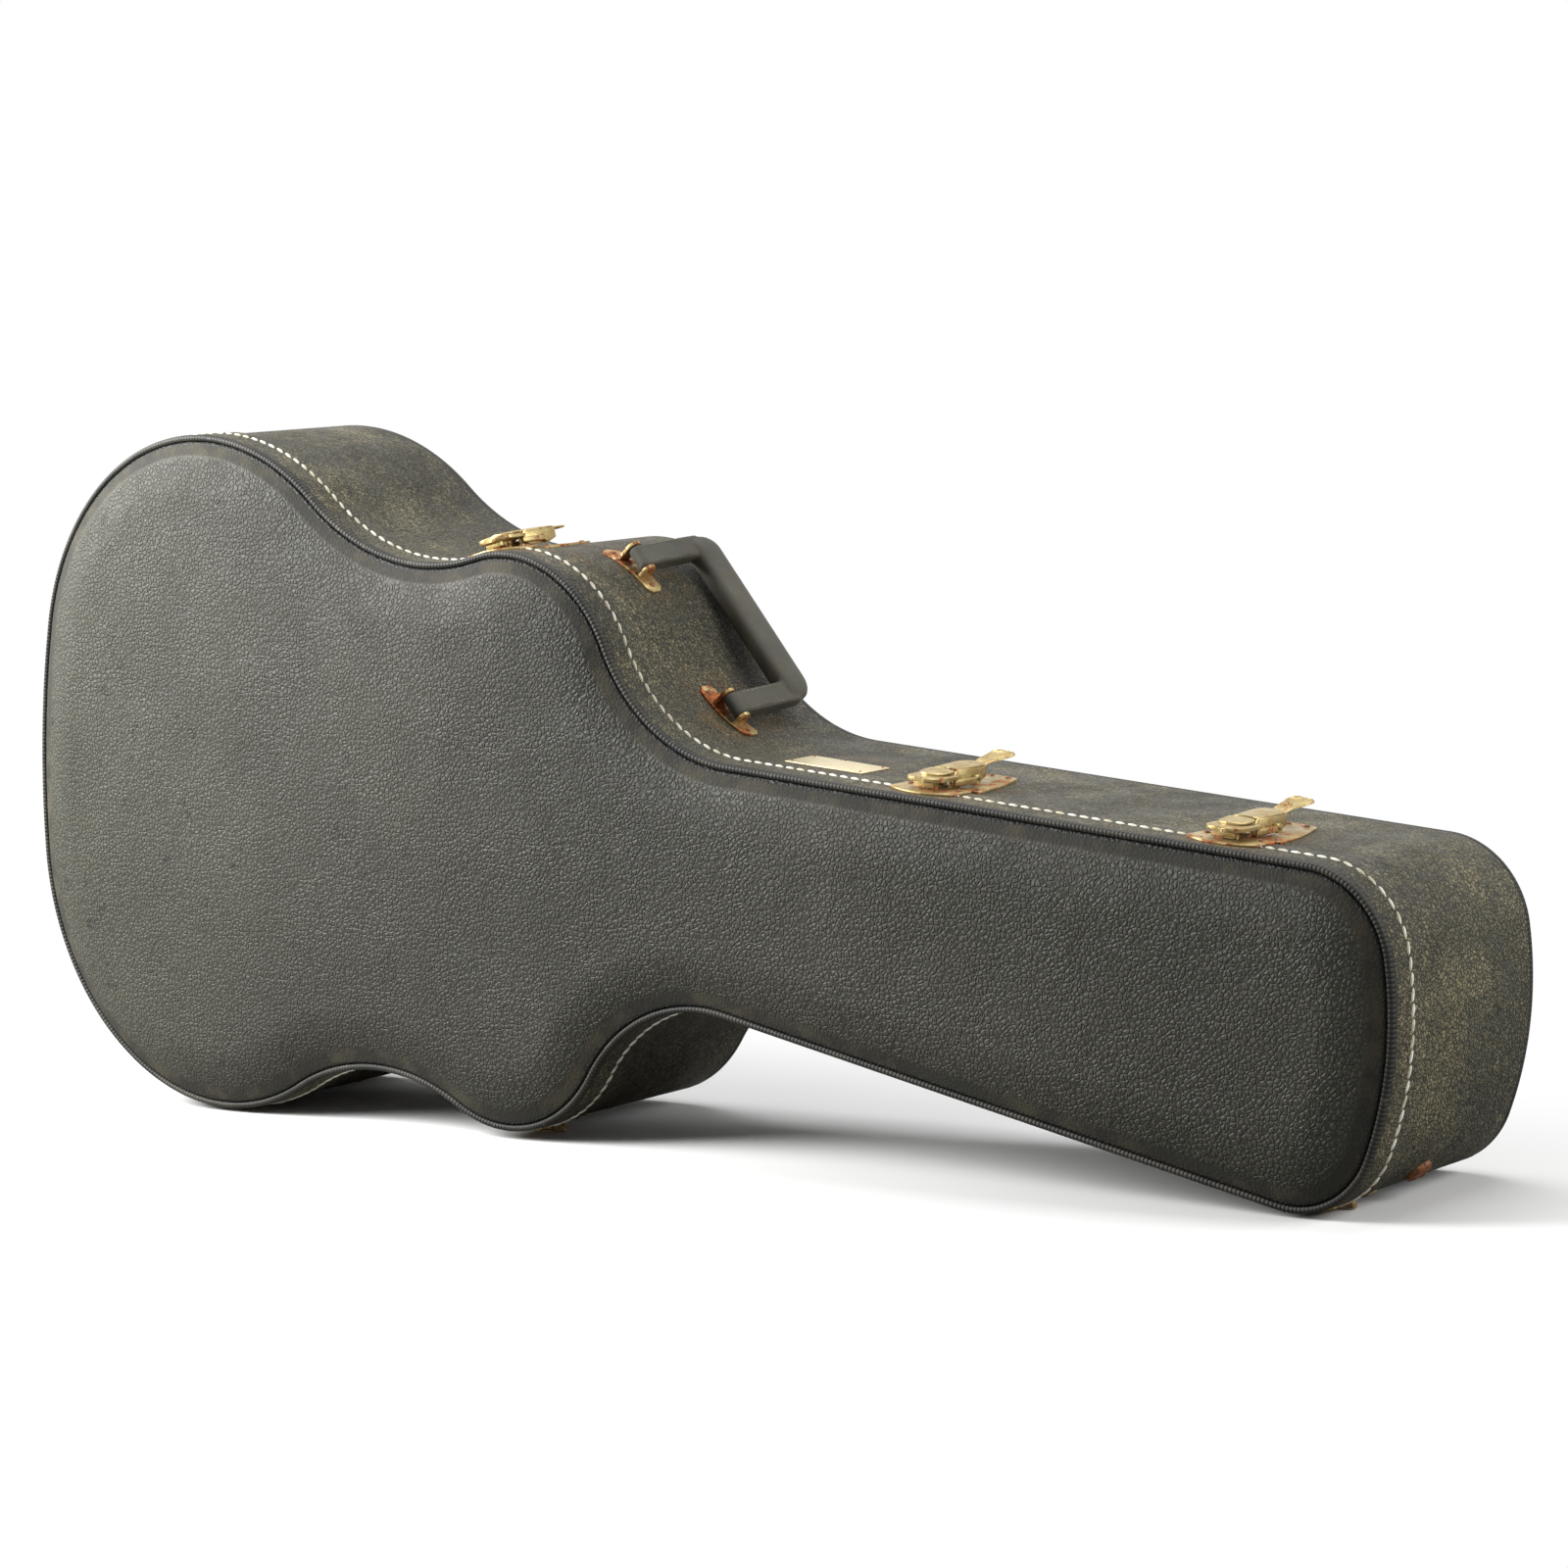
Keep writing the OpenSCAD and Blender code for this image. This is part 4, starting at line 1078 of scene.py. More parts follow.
class Form:
    """A mesh in the making."""

    def __init__(self) -> None:
        """Starts an empty mesh with a UV map."""
        self.bm = bmesh.new()
        self.uv = self.bm.loops.layers.uv.new("UVMap")

    def skin(self, rings: Sequence[Sequence[Vector]], runs: Sequence[float] | None = None,
             heights: Sequence[float] | None = None, closed: bool = False) -> "Form":
        """Joins rings of points, each closed and with the same number of points.

        Args:
            rings: The rings, one after another.
            runs: First UV coordinate of each point of a ring, and of the end of its run.
            heights: Second UV coordinate of each ring.
            closed: Whether the last ring joins the first; otherwise both are capped.

        Returns:
            This form.
        """
        made = [[self.bm.verts.new(point) for point in ring] for ring in rings]
        count = len(made[0])
        pairs = len(made) if closed else len(made) - 1
        for k in range(pairs):
            a = made[k]
            b = made[(k + 1) % len(made)]
            for i in range(count):
                j = (i + 1) % count
                face = self.bm.faces.new((a[i], a[j], b[j], b[i]))
                if runs is None or heights is None:
                    continue
                low = heights[k]
                high = heights[(k + 1) % len(heights)]
                spots = ((runs[i], low), (runs[i + 1], low), (runs[i + 1], high), (runs[i], high))
                for loop, spot in zip(face.loops, spots):
                    loop[self.uv].uv = spot
        if not closed:
            for ring, k in ((made[0], 0), (made[-1], -1)):
                cap = self.bm.faces.new(ring)
                for loop in cap.loops:
                    loop[self.uv].uv = (0.0, heights[k] if heights else 0.0)
        bmesh.ops.recalc_face_normals(self.bm, faces=self.bm.faces)
        return self

    def prism(self, points: Sequence[tuple[float, float]], z0: float, z1: float) -> "Form":
        """Extrudes a drawn shape.

        Args:
            points: Its corners.
            z0: Height of its drawn side.
            z1: Height of the other side.

        Returns:
            This form.
        """
        face = self.bm.faces.new([self.bm.verts.new((x, y, z0)) for x, y in points])
        grown = bmesh.ops.extrude_face_region(self.bm, geom=[face])["geom"]
        verts = [part for part in grown if isinstance(part, bmesh.types.BMVert)]
        bmesh.ops.translate(self.bm, verts=verts, vec=(0, 0, z1 - z0))
        bmesh.ops.recalc_face_normals(self.bm, faces=self.bm.faces)
        return self

    def bar(self, x0: float, x1: float, y: float, z: float, r: float) -> "Form":
        """Adds a round bar along x.

        Args:
            x0: Its start.
            x1: Its end.
            y: Place of its axis.
            z: Height of its axis.
            r: Its radius.

        Returns:
            This form.
        """
        turn = Matrix.Rotation(math.radians(90), 4, "Y")
        where = Matrix.Translation(((x0 + x1) / 2, y, z)) @ turn
        bmesh.ops.create_cone(self.bm, cap_ends=True, segments=40, radius1=r, radius2=r,
                              depth=x1 - x0, matrix=where)
        return self

    def bead(self, where: Matrix, length: float, width: float, height: float) -> "Form":
        """Adds one small stitch.

        Args:
            where: Matrix whose x runs along it.
            length: Its length.
            width: Its width.
            height: Its height.

        Returns:
            This form.
        """
        size = Matrix.Diagonal((length / 2, width / 2, height / 2, 1))
        bmesh.ops.create_uvsphere(self.bm, u_segments=6, v_segments=6, radius=1,
                                  matrix=where @ size @ Matrix.Rotation(math.pi / 2, 4, "Y"))
        return self

    def bevel(self, width: float, segments: int = 2, over: float = 30.0) -> "Form":
        """Rounds sharp edges.

        Args:
            width: Width of the rounding.
            segments: Steps in it.
            over: Angle in degrees above which an edge is sharp.

        Returns:
            This form.
        """
        limit = math.radians(over)
        sharp = [e for e in self.bm.edges
                 if len(e.link_faces) == 2 and e.calc_face_angle(0.0) > limit]
        bmesh.ops.bevel(self.bm, geom=sharp, offset=width, offset_type="OFFSET",
                        segments=segments, profile=0.5, affect="EDGES", material=-1,
                        clamp_overlap=True)
        return self

    def transform(self, matrix: Matrix) -> "Form":
        """Moves the whole form."""
        self.bm.transform(matrix)
        return self

    def piece(self, name: str, body: str, slot: Slot, finish: Finish,
              replaces: Sequence[str] = (), sharp: float = 40.0) -> bpy.types.Object:
        """Makes the form a piece of the scene.

        Args:
            name: The piece's name.
            body: The body that it rides on.
            slot: The record's slot; not used.
            finish: Its material.
            replaces: Nodes that it stands for.
            sharp: Angle in degrees above which an edge isn't shaded smooth.

        Returns:
            The object.
        """
        mesh = bpy.data.meshes.new(name)
        self.bm.to_mesh(mesh)
        self.bm.free()
        mesh.shade_smooth()
        mesh.set_sharp_from_angle(angle=math.radians(sharp))
        mesh.materials.append(finish.material)
        made = bpy.data.objects.new(name, mesh)
        bpy.context.scene.collection.objects.link(made)
        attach(made, body)
        if replaces:
            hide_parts(*replaces)
        log.info("%s rides on %s", name, body)
        return made


def node_form(node: str) -> Form:
    """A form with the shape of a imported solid, with its flat faces whole again.

    Args:
        node: The solid's node.

    Returns:
        The form.
    """
    form = Form()
    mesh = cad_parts[node].data.copy()
    for name in ("custom_normal", "sharp_face", "sharp_edge"):
        if name in mesh.attributes:
            mesh.attributes.remove(mesh.attributes[name])
    form.bm.from_mesh(mesh)
    bpy.data.meshes.remove(mesh)
    bmesh.ops.remove_doubles(form.bm, verts=form.bm.verts, dist=2e-6)
    bmesh.ops.dissolve_limit(form.bm, angle_limit=math.radians(0.6), verts=form.bm.verts,
                             edges=form.bm.edges)
    return form


def softened(node: str, edge: float) -> Form:
    """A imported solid's form with its sharp edges rounded.

    Args:
        node: The solid's node.
        edge: Width of the rounding in millimetres.

    Returns:
        The form.
    """
    return node_form(node).bevel(edge * MM, 2, 50)


def rounded_box(i0: float, w0: float, i1: float, w1: float, front: float,
                back: float, steps: int = 3) -> list[tuple[float, float]]:
    """Closed profile with round corners, as insets and depths.

    Args:
        i0: Outer inset.
        w0: Front depth.
        i1: Inner inset.
        w1: Back depth.
        front: Radius of the two front corners.
        back: Radius of the two back corners.
        steps: Steps in each corner.

    Returns:
        The points.
    """
    corners = ((i0, w0, front, 180), (i1, w0, front, 270), (i1, w1, back, 0), (i0, w1, back, 90))
    points = []
    for i, w, r, start in corners:
        center_i = i + r if i == i0 else i - r
        center_w = w + r if w == w0 else w - r
        for k in range(steps + 1):
            turn = math.radians(start + 90 * k / steps)
            points.append((center_i + r * math.cos(turn), center_w + r * math.sin(turn)))
    return points


def carried(profile: Sequence[tuple[float, float]], across: Across, closed: bool,
            step: float = 1.5) -> Form:
    """Carries a profile round the case's outline.

    Args:
        profile: Points as insets and depths.
        across: What the second UV coordinate measures.
        closed: Whether the profile is closed; otherwise its ends are capped.
        step: Largest turn between two points of the outline, in degrees.

    Returns:
        The form, in the finished part's metres.
    """
    base = OUTLINE.loop(0, step)
    runs = [0.0]
    for i, point in enumerate(base):
        runs.append(runs[-1] + (base[(i + 1) % len(base)] - point).length * MM)
    rings = [[Vector((p.x, w - DEPTH / 2, p.y)) for p in OUTLINE.loop(inset, step)]
             for inset, w in profile]
    heights = [(inset if across is Across.INSET else w) * MM for inset, w in profile]
    return Form().skin(rings, runs, heights, closed).transform(OUTLINE.stand)


def rim_walk(inset: float, w: float, pitch: float) -> list[Matrix]:
    """Places at even steps round the outline, with x along it, y to the back and z out.

    Args:
        inset: Distance in from the lid's outline.
        w: Depth from the lid's front edge.
        pitch: Distance between two places.

    Returns:
        A matrix for each place, in the finished part's metres.
    """
    loop = OUTLINE.loop(inset, 1.0)
    sides = [(a, b) for a, b in zip(loop, loop[1:] + loop[:1]) if (b - a).length > 1e-6]
    total = sum((b - a).length for a, b in sides)
    count = round(total / pitch)
    found = []
    passed = 0.0
    index = 0
    for k in range(count):
        goal = total * k / count
        while passed + (sides[index][1] - sides[index][0]).length < goal:
            passed += (sides[index][1] - sides[index][0]).length
            index += 1
        a, b = sides[index]
        way = (b - a).normalized()
        spot = a + way * (goal - passed)
        turn = Matrix.Rotation(-math.atan2(way.y, way.x), 4, "Y")
        found.append(OUTLINE.stand @ Matrix.Translation((spot.x, w - DEPTH / 2, spot.y)) @ turn)
    return found


@dataclass
class Shell:
    """The two panels, the two rims and the welts round them; sizes in millimetres.

    Attributes:
        panel_finish: Material of both panels.
        rim_finish: Material of both rims.
        welt_finish: Material of both welts.
        stitch_finish: Material of the stitches.
        crown: How far a panel's middle stands proud of its edge.
        margin: Width of the slope round its middle.
        crown_steps: Rings in that slope.
        panel_wall: Thickness of a panel.
        roll_over: Points of its rounded edge, as insets and depths from that edge.
        welt_gap: Gap between a panel's edge and the welt.
        rim_free: Rounding of a rim's free edge.
        rim_root: Rounding of its edge at the welt.
        welt_round: Rounding of a welt's outer side.
        welt_root: Rounding of its side at the rim.
        seat_r: Radius of the seats that the hinge knuckles lie in.
        seat_gap: How far a seat is longer than the hinge pin at each end.
        stitch_w: Depth of the line of stitches from the lid's front edge.
        stitch_pitch: Distance between two stitches.
        stitch: Length, width and height of a stitch.
        stitch_lift: Height of a stitch's middle above the rim.
        stitch_slant: Its turn from the line, in degrees.
    """

    panel_finish: Finish
    rim_finish: Finish
    welt_finish: Finish
    stitch_finish: Finish
    crown: float = 9.0
    margin: float = 38.0
    crown_steps: int = 18
    panel_wall: float = 4.0
    roll_over: tuple[tuple[float, float], ...] = ((0.9, -0.25), (0.35, 0.1), (0.0, 0.9))
    welt_gap: float = 0.3
    rim_free: float = 0.7
    rim_root: float = 0.3
    welt_round: float = 1.95
    welt_root: float = 0.3
    seat_r: float = 2.3
    seat_gap: float = 0.5
    stitch_w: float = 18.5
    stitch_pitch: float = 8.0
    stitch: tuple[float, float, float] = (7.3, 2.2, 1.8)
    stitch_lift: float = 0.2
    stitch_slant: float = -13.0

    def build(self) -> None:
        """Makes every piece of the shell."""
        edge_in = WELT_W + self.welt_gap
        self.panel(edge_in, lambda w: w).piece(
            "lid_panel_vinyl", "lid", Slot.PANEL, self.panel_finish, ["lid_panel"])
        self.panel(edge_in + RIM_STEP, lambda w: DEPTH - w).piece(
            "back_panel_vinyl", "body", Slot.PANEL, self.panel_finish, ["back_panel"])
        lid = rounded_box(0, WELT_H, RIM_WALL, LID_DEPTH - PART_GAP / 2,
                          self.rim_root, self.rim_free)
        self.rim(lid, "lid_rim_vinyl", "lid", ["lid_rim", "lid_rim_head"])
        body = rounded_box(RIM_STEP, LID_DEPTH + PART_GAP / 2, BODY_IN, BACK_EDGE,
                           self.rim_free, self.rim_root)
        self.rim(body, "body_rim_vinyl", "body", ["body_rim"])
        front = rounded_box(0, 0, WELT_W, WELT_H, self.welt_round, self.welt_root, 5)
        carried(front, Across.DEPTH, True).piece(
            "lid_welt_roll", "lid", Slot.WELT, self.welt_finish, ["lid_welt"])
        back = rounded_box(RIM_STEP, BACK_EDGE, RIM_STEP + WELT_W, DEPTH,
                           self.welt_root, self.welt_round, 5)
        carried(back, Across.DEPTH, True).piece(
            "back_welt_roll", "body", Slot.WELT, self.welt_finish, ["back_welt"])
        self.stitches()

    def panel(self, edge_in: float, depth: Callable[[float], float]) -> Form:
        """Crowned panel that slopes down to its edge.

        Args:
            edge_in: Inset of its edge.
            depth: Turns a depth of the lid's panel into this panel's depth.

        Returns:
            The form.
        """
        edge_w = WELT_H - self.panel_wall
        outer = []
        for k in range(self.crown_steps, 0, -1):
            share = k / self.crown_steps
            rise = self.crown * math.sin(math.pi / 2 * share)
            outer.append((edge_in + share * self.margin, edge_w - rise))
        edge = [(edge_in + i, edge_w + w) for i, w in self.roll_over]
        edge.append((edge_in, edge_w + self.panel_wall))
        inner = []
        for share in (0.2, 0.4, 0.6, 0.8, 1.0):
            rise = self.crown * math.sin(math.pi / 2 * share)
            inner.append((edge_in + share * self.margin, edge_w - rise + self.panel_wall))
        profile = [(i, depth(w)) for i, w in outer + edge + inner]
        return carried(profile, Across.INSET, False)

    def rim(self, profile: Sequence[tuple[float, float]], name: str, body: str,
            nodes: Sequence[str]) -> None:
        """One rim, with the seats of the hinge knuckles cut into it.

        Args:
            profile: Its cross-section, as insets and depths.
            name: The piece's name.
            body: The body that it rides on.
            nodes: Nodes that it stands for.
        """
        made = carried(profile, Across.DEPTH, True).piece(
            name, body, Slot.RIM, self.rim_finish, nodes)
        seats = Form()
        for side in ("tail", "bout", "head"):
            low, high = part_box(f"hinge_pin_{side}")
            middle = (low + high) / 2 / MM
            half = (high.x - low.x) / 2 / MM + self.seat_gap
            seats.bar(middle.x - half, middle.x + half, middle.y, middle.z, self.seat_r)
        seats.transform(Matrix.Scale(MM, 4))
        mesh = bpy.data.meshes.new("seats")
        seats.bm.to_mesh(mesh)
        seats.bm.free()
        cutter = bpy.data.objects.new("seats", mesh)
        bpy.context.scene.collection.objects.link(cutter)
        cut = made.modifiers.new("seats", "BOOLEAN")
        cut.object = cutter
        cut.solver = "EXACT"
        apply_modifiers(made)
        bpy.data.objects.remove(cutter)

    def stitches(self) -> None:
        """One line of slanted saddle stitches round the lid."""
        form = Form()
        slant = Matrix.Rotation(math.radians(self.stitch_slant), 4, "Z")
        lift = Matrix.Translation((0, 0, self.stitch_lift))
        for where in rim_walk(0, self.stitch_w, self.stitch_pitch):
            form.bead(where @ lift @ slant, *self.stitch)
        form.piece("lid_stitches", "lid", Slot.RIM, self.stitch_finish)


def apply_modifiers(made: bpy.types.Object) -> None:
    """Puts an object's modifiers into its mesh.

    Args:
        made: The object.
    """
    shaped = made.evaluated_get(bpy.context.evaluated_depsgraph_get())
    mesh = bpy.data.meshes.new_from_object(shaped)
    old = made.data
    made.modifiers.clear()
    made.data = mesh
    bpy.data.meshes.remove(old)
    mesh.name = made.name


@dataclass
class Inside:
    """Plush linings, the accessory box and the neck rest; sizes in millimetres.

    Attributes:
        lining: Material of the plush.
        leather: Material of the flap's pull tab.
        lip_front: Rounding of the inner lip's free edge.
        lip_back: Rounding of its root's edges.
        lid_gap: Gap between the lid's lining and the body's lip.
        corner_r: Radius of the soft corner between a lining's wall and its floor.
        box_u: Where the accessory box starts.
        box_len: Its length inside.
        box_top: Depth of its open side from the lid's front edge.
        box_wall: Thickness of its cross walls.
        wall_edge: Rounding of their edges.
        notch_half: Radius of the notches for the neck.
        notch_d: How deep a notch is.
        rest_u: Where the neck rest starts.
        rest_len: Its length.
        rest_edge: Rounding of its edges.
        box_edge: Rounding of the shelf's and the flap's edges.
        pull_edge: Rounding of the pull tab's edges.
    """

    lining: Finish
    leather: Finish
    lip_front: float = 0.9
    lip_back: float = 0.3
    lid_gap: float = 1.0
    corner_r: float = 6.0
    box_u: float = 605.0
    box_len: float = 140.0
    box_top: float = BODY_FLOOR - 52.0
    box_wall: float = 6.0
    wall_edge: float = 1.6
    notch_half: float = 32.0
    notch_d: float = 14.0
    rest_u: float = CASE_LEN - 210.0
    rest_len: float = 40.0
    rest_edge: float = 6.0
    box_edge: float = 0.5
    pull_edge: float = 0.4

    def build(self) -> None:
        """Makes every piece of the inside."""
        lip = rounded_box(BODY_IN, LID_DEPTH - LIP_REACH, BODY_IN + LIP_WALL,
                          LID_DEPTH + LIP_ROOT, self.lip_front, self.lip_back)
        carried(lip, Across.DEPTH, True).piece(
            "lip_plush", "body", Slot.PLUSH, self.lining, ["body_lip"])
        body = self.pan(BODY_IN, LID_DEPTH + LIP_ROOT, BODY_FLOOR, BACK_EDGE)
        lid = self.pan(RIM_WALL, LID_DEPTH - LIP_REACH - self.lid_gap, WELT_H + LINING, WELT_H)
        made = body.piece("body_plush", "body", Slot.PLUSH, self.lining, ["body_lining"])
        made = lid.piece("lid_plush", "lid", Slot.PLUSH, self.lining, ["lid_lining"])
        head_u = self.box_u + self.box_len
        for node, u0 in (("box_wall_bout", self.box_u - self.box_wall), ("box_wall_head", head_u)):
            self.cradle(u0, u0 + self.box_wall, self.wall_edge).piece(
                f"{node}_plush", "body", Slot.PLUSH, self.lining, [node])
        rest = self.cradle(self.rest_u, self.rest_u + self.rest_len, self.rest_edge)
        made = rest.piece("neck_rest_cushion", "body", Slot.PLUSH, self.lining, ["neck_rest"])
        for node, body_name in (("box_shelf", "body"), ("box_flap", "box_flap")):
            softened(node, self.box_edge).piece(
                f"{node}_plush", body_name, Slot.PLUSH, self.lining, [node])
        softened("flap_pull", self.pull_edge).piece(
            "flap_pull_tab", "box_flap", Slot.LEATHER, self.leather, ["flap_pull"])

    def pan(self, inset: float, mouth: float, floor: float, base: float) -> Form:
        """Lining with a wall all round and a flat floor, joined by a soft corner.

        Args:
            inset: Inset of its outer side.
            mouth: Depth of the wall's free edge.
            floor: Depth of the floor's plush side.
            base: Depth of the floor's covered side.

        Returns:
            The form.
        """
        inner = inset + LINING
        way = 1 if floor > mouth else -1
        corner = self.corner_r
        flat = inner + corner + 4
        profile = [(flat, floor)]
        for k in range(6):
            turn = math.radians(18 * k)
            profile.append((inner + corner * (1 - math.sin(turn)),
                            floor - way * corner * (1 - math.cos(turn))))
        edge = 1.2
        profile += [(inner, mouth + way * edge), (inner - 0.4, mouth + way * 0.3),
                    (inner - edge, mouth), (inset, mouth), (inset, base), (flat, base)]
        return carried(profile, Across.DEPTH, False)

    def cradle(self, u0: float, u1: float, round_edge: float) -> Form:
        """Cross wall with a round notch for the neck.

        Args:
            u0: Its tail side.
            u1: Its head side.
            round_edge: Radius of its edges.

        Returns:
            The form.
        """
        top = self.box_top - self.notch_d
        center_w = self.box_top - self.notch_half
        half = math.sqrt(self.notch_half**2 - (top - center_w) ** 2)
        start = math.degrees(math.atan2(top - center_w, half))
        notch = []
        count = 16
        for k in range(count + 1):
            turn = math.radians(start + (180 - 2 * start) * k / count)
            notch.append((self.notch_half * math.cos(turn),
                          center_w + self.notch_half * math.sin(turn)))
        rings = []
        for u in (u0, u1):
            low = INNER_IN - OUTLINE.neck_low(u)
            high = OUTLINE.neck_top(u) - INNER_IN
            points = [(high, BODY_FLOOR), (high, top), *notch, (low, top), (low, BODY_FLOOR)]
            rings.append([Vector((u, w - DEPTH / 2, v)) for v, w in points])
        form = Form().skin(rings)
        form.bevel(round_edge * 0.5, 4, 40)
        return form.transform(OUTLINE.stand)


@dataclass
class Latches:
    """The four latches: plates on both rims, levers with fan tabs, and bails.

    Sizes are in millimetres, from the line where the lid meets the body at each latch's place.

    Attributes:
        plate: Material of the plates.
        moving: Material of the levers and the bails.
        pivot_back: How far back the lever's pivot is.
        pivot_z: Height of the pivot above the rim.
        throw: Distance from the pivot to the bail's pin.
        bail_drop: How far the bail's pin is below the pivot.
        lever_len: Length of the lever's channel from its pivot.
        lever_half: Half width of the channel.
        lever_top: Height of its upper side.
        lever_wall: Thickness of its blade.
        lever_side: Thickness of its cheeks.
        lever_flare: How much narrower the channel is at its front, on each side.
        waist_half: Half width of the waist before the tab.
        tab_len: Length of the fan tab.
        tab_half: Half width of its end.
        tab_corner: Radius of its corners.
        tab_curl: How far it turns up.
        tab_dip: Depth of the dip before it.
        tab_ribs: Half height of its ribs.
        stub_len: Length of the stub where the tab is missing.
        bail_arm: Width of a bail's arm.
        bail_wall: Thickness of the bail.
        bail_gap: Gap between the bail's arms and the lever.
        strike_back: How far in front of the line the strike is.
        plate_edge: Rounding of the plates' edges.
        blade_front: How far before its pivot a lever starts.
        blade_soft: How much thinner a blade is at its sides.
        lip_gap: Gap between the strike and the bail's lip.
        lip_wall: Thickness of the lip.
        lip_half: Its half width.
        lip_z: Height of its lower edge.
        bail_over: How far the bail reaches past its lip.
        bail_short: Distance between the bail's blades and the lever's pivot.
        bail_corner: Radius of the lower blade's front corners.
        bail_corner_up: Radius of the upper blade's front corners.
        bail_sunk: How far the upper blade's front is below the lever's top.
        bail_rise: How far the upper blade rises to its back.
        bail_step: How far the bail's upper blade starts behind the lower one.
    """

    plate: Finish
    moving: Finish
    pivot_back: float = 6.0
    pivot_z: float = 5.3
    throw: float = 12.0
    bail_drop: float = 1.0
    lever_len: float = 24.0
    lever_half: float = 9.0
    lever_top: float = 11.9
    lever_wall: float = 1.6
    lever_side: float = 2.6
    lever_flare: float = 1.6
    waist_half: float = 4.0
    tab_len: float = 28.0
    tab_half: float = 9.5
    tab_corner: float = 5.0
    tab_curl: float = 2.6
    tab_dip: float = 1.6
    tab_ribs: float = 0.32
    stub_len: float = 13.0
    bail_arm: float = 3.0
    bail_wall: float = 3.0
    bail_gap: float = 0.4
    strike_back: float = 12.8
    plate_edge: float = 0.35
    blade_front: float = 2.0
    blade_soft: float = 0.45
    lip_gap: float = 0.5
    lip_wall: float = 3.0
    lip_half: float = 6.5
    lip_z: float = 2.7
    bail_over: float = 4.0
    bail_short: float = 6.0
    bail_corner: float = 8.5
    bail_corner_up: float = 7.5
    bail_sunk: float = 1.5
    bail_rise: float = 0.9
    bail_step: float = 7.0

    def __post_init__(self) -> None:
        """Works out the bail's sizes from the lever's."""
        self.bail_z = self.pivot_z - self.bail_drop
        self.bail_back = self.pivot_back + self.throw
        self.bail_in = self.lever_half + self.bail_gap
        self.bail_half = self.bail_in + self.bail_arm

    def build(self) -> None:
        """Makes the pieces of every latch."""
        for name, place in PLACES.items():
            softened(f"latch_base_{name}", self.plate_edge).piece(
                f"latch_base_{name}_plate", "body", Slot.BRASS, self.plate,
                [f"latch_base_{name}"])
            softened(f"catch_{name}", self.plate_edge).piece(
                f"catch_{name}_plate", "lid", Slot.BRASS, self.plate, [f"catch_{name}"])
            where = place.matrix(LID_DEPTH)
            self.lever(name != "bout").transform(where).piece(
                f"lever_{name}_blade", f"lever_{name}", Slot.BRASS, self.moving,
                [f"lever_{name}"])
            self.bail().transform(where).piece(
                f"bail_{name}_blade", f"bail_{name}", Slot.BRASS, self.moving,
                [f"bail_{name}"])

    def blade(self, length: float, half: Callable[[float], float],
              top: Callable[[float, float], float], wall: float, start: float,
              columns: int = 24, rows: int = 28) -> Form:
        """A thin blade with soft edges, along y.

        Args:
            length: Its length.
            half: Half width at a share of the length.
            top: Height of its upper side at shares of the length and of the half width.
            wall: Thickness.
            start: Its y at share 0.
            columns: Steps across.
            rows: Steps along.

        Returns:
            The form.
        """
        rings = []
        for k in range(rows + 1):
            t = k / rows
            width = half(t)
            y = start + length * t
            upper = []
            lower = []
            for c in range(columns + 1):
                a = -1 + 2 * c / columns
                z = top(t, a)
                soft = self.blade_soft * abs(a) ** 10
                upper.append(Vector((a * width, y, z - soft)))
                lower.append(Vector((a * width, y, top(t, 0) - wall + soft)))
            rings.append(upper + lower[::-1])
        return Form().skin(rings)

    def lever(self, fan: bool) -> Form:
        """Lever: a channel whose blade narrows to a waist and opens into a ribbed fan tab.

        Args:
            fan: Whether it has its tab; one latch has lost it.

        Returns:
            The form, in its place's millimetres.
        """
        end = self.pivot_back + self.lever_len
        front = self.pivot_back - self.blade_front
        waist = self.waist_half
        blade_len = end - front

        def blade_half(t: float) -> float:
            """Half width of the channel's blade.

            Args:
                t: Share of its length.

            Returns:
                The half width.
            """
            shoulder = min(1.0, (1 - t) * blade_len / 4)
            round_front = min(1.0, t * blade_len / 3)
            widen = self.lever_half - self.lever_flare * (1 - min(1.0, t * 1.5))
            corner = math.sqrt(max(0.0, 1 - (1 - round_front) ** 2))
            width = widen * (0.72 + 0.28 * corner)
            return waist + (width - waist) * math.sqrt(max(0.0, 1 - (1 - shoulder) ** 2))

        def blade_top(t: float, a: float) -> float:
            """Height of the blade at shares of its length and half width."""
            swell = 0.5 * math.sin(math.pi * min(1.0, t * 1.2) / 2)
            return self.lever_top - 0.5 + swell - 0.35 * a * a

        form = self.blade(blade_len, blade_half, blade_top, self.lever_wall, front)
        overlap = 0.6
        tab_len = (self.tab_len if fan else self.stub_len) + overlap

        def tab_half(t: float) -> float:
            """Half width of the tab.

            Args:
                t: Share of its length.

            Returns:
                The half width.
            """
            if not fan:
                return waist
            spread = max(0.0, (t - 0.12) / 0.88)
            width = waist + (self.tab_half - waist) * spread**0.8
            tip = min(1.0, (1 - t) * tab_len / self.tab_corner)
            return width * (0.35 + 0.65 * math.sqrt(max(0.0, 1 - (1 - tip) ** 2)))

        def tab_top(t: float, a: float) -> float:
            """Height of the tab's upper side.

            Args:
                t: Share of its length.
                a: Share of its half width.

            Returns:
                The height.
            """
            if not fan:
                return self.lever_top - 0.2
            spread = max(0.0, (t - 0.2) / 0.8)
            dip = self.tab_dip * math.exp(-(((t - 0.14) / 0.13) ** 2))
            curl = self.tab_curl * spread**2.2 - dip
            ribs = self.tab_ribs * math.cos(5 * math.pi * a) * min(1.0, spread * 3)
            return self.lever_top - 0.2 + curl + ribs + 0.5 * a * a * spread

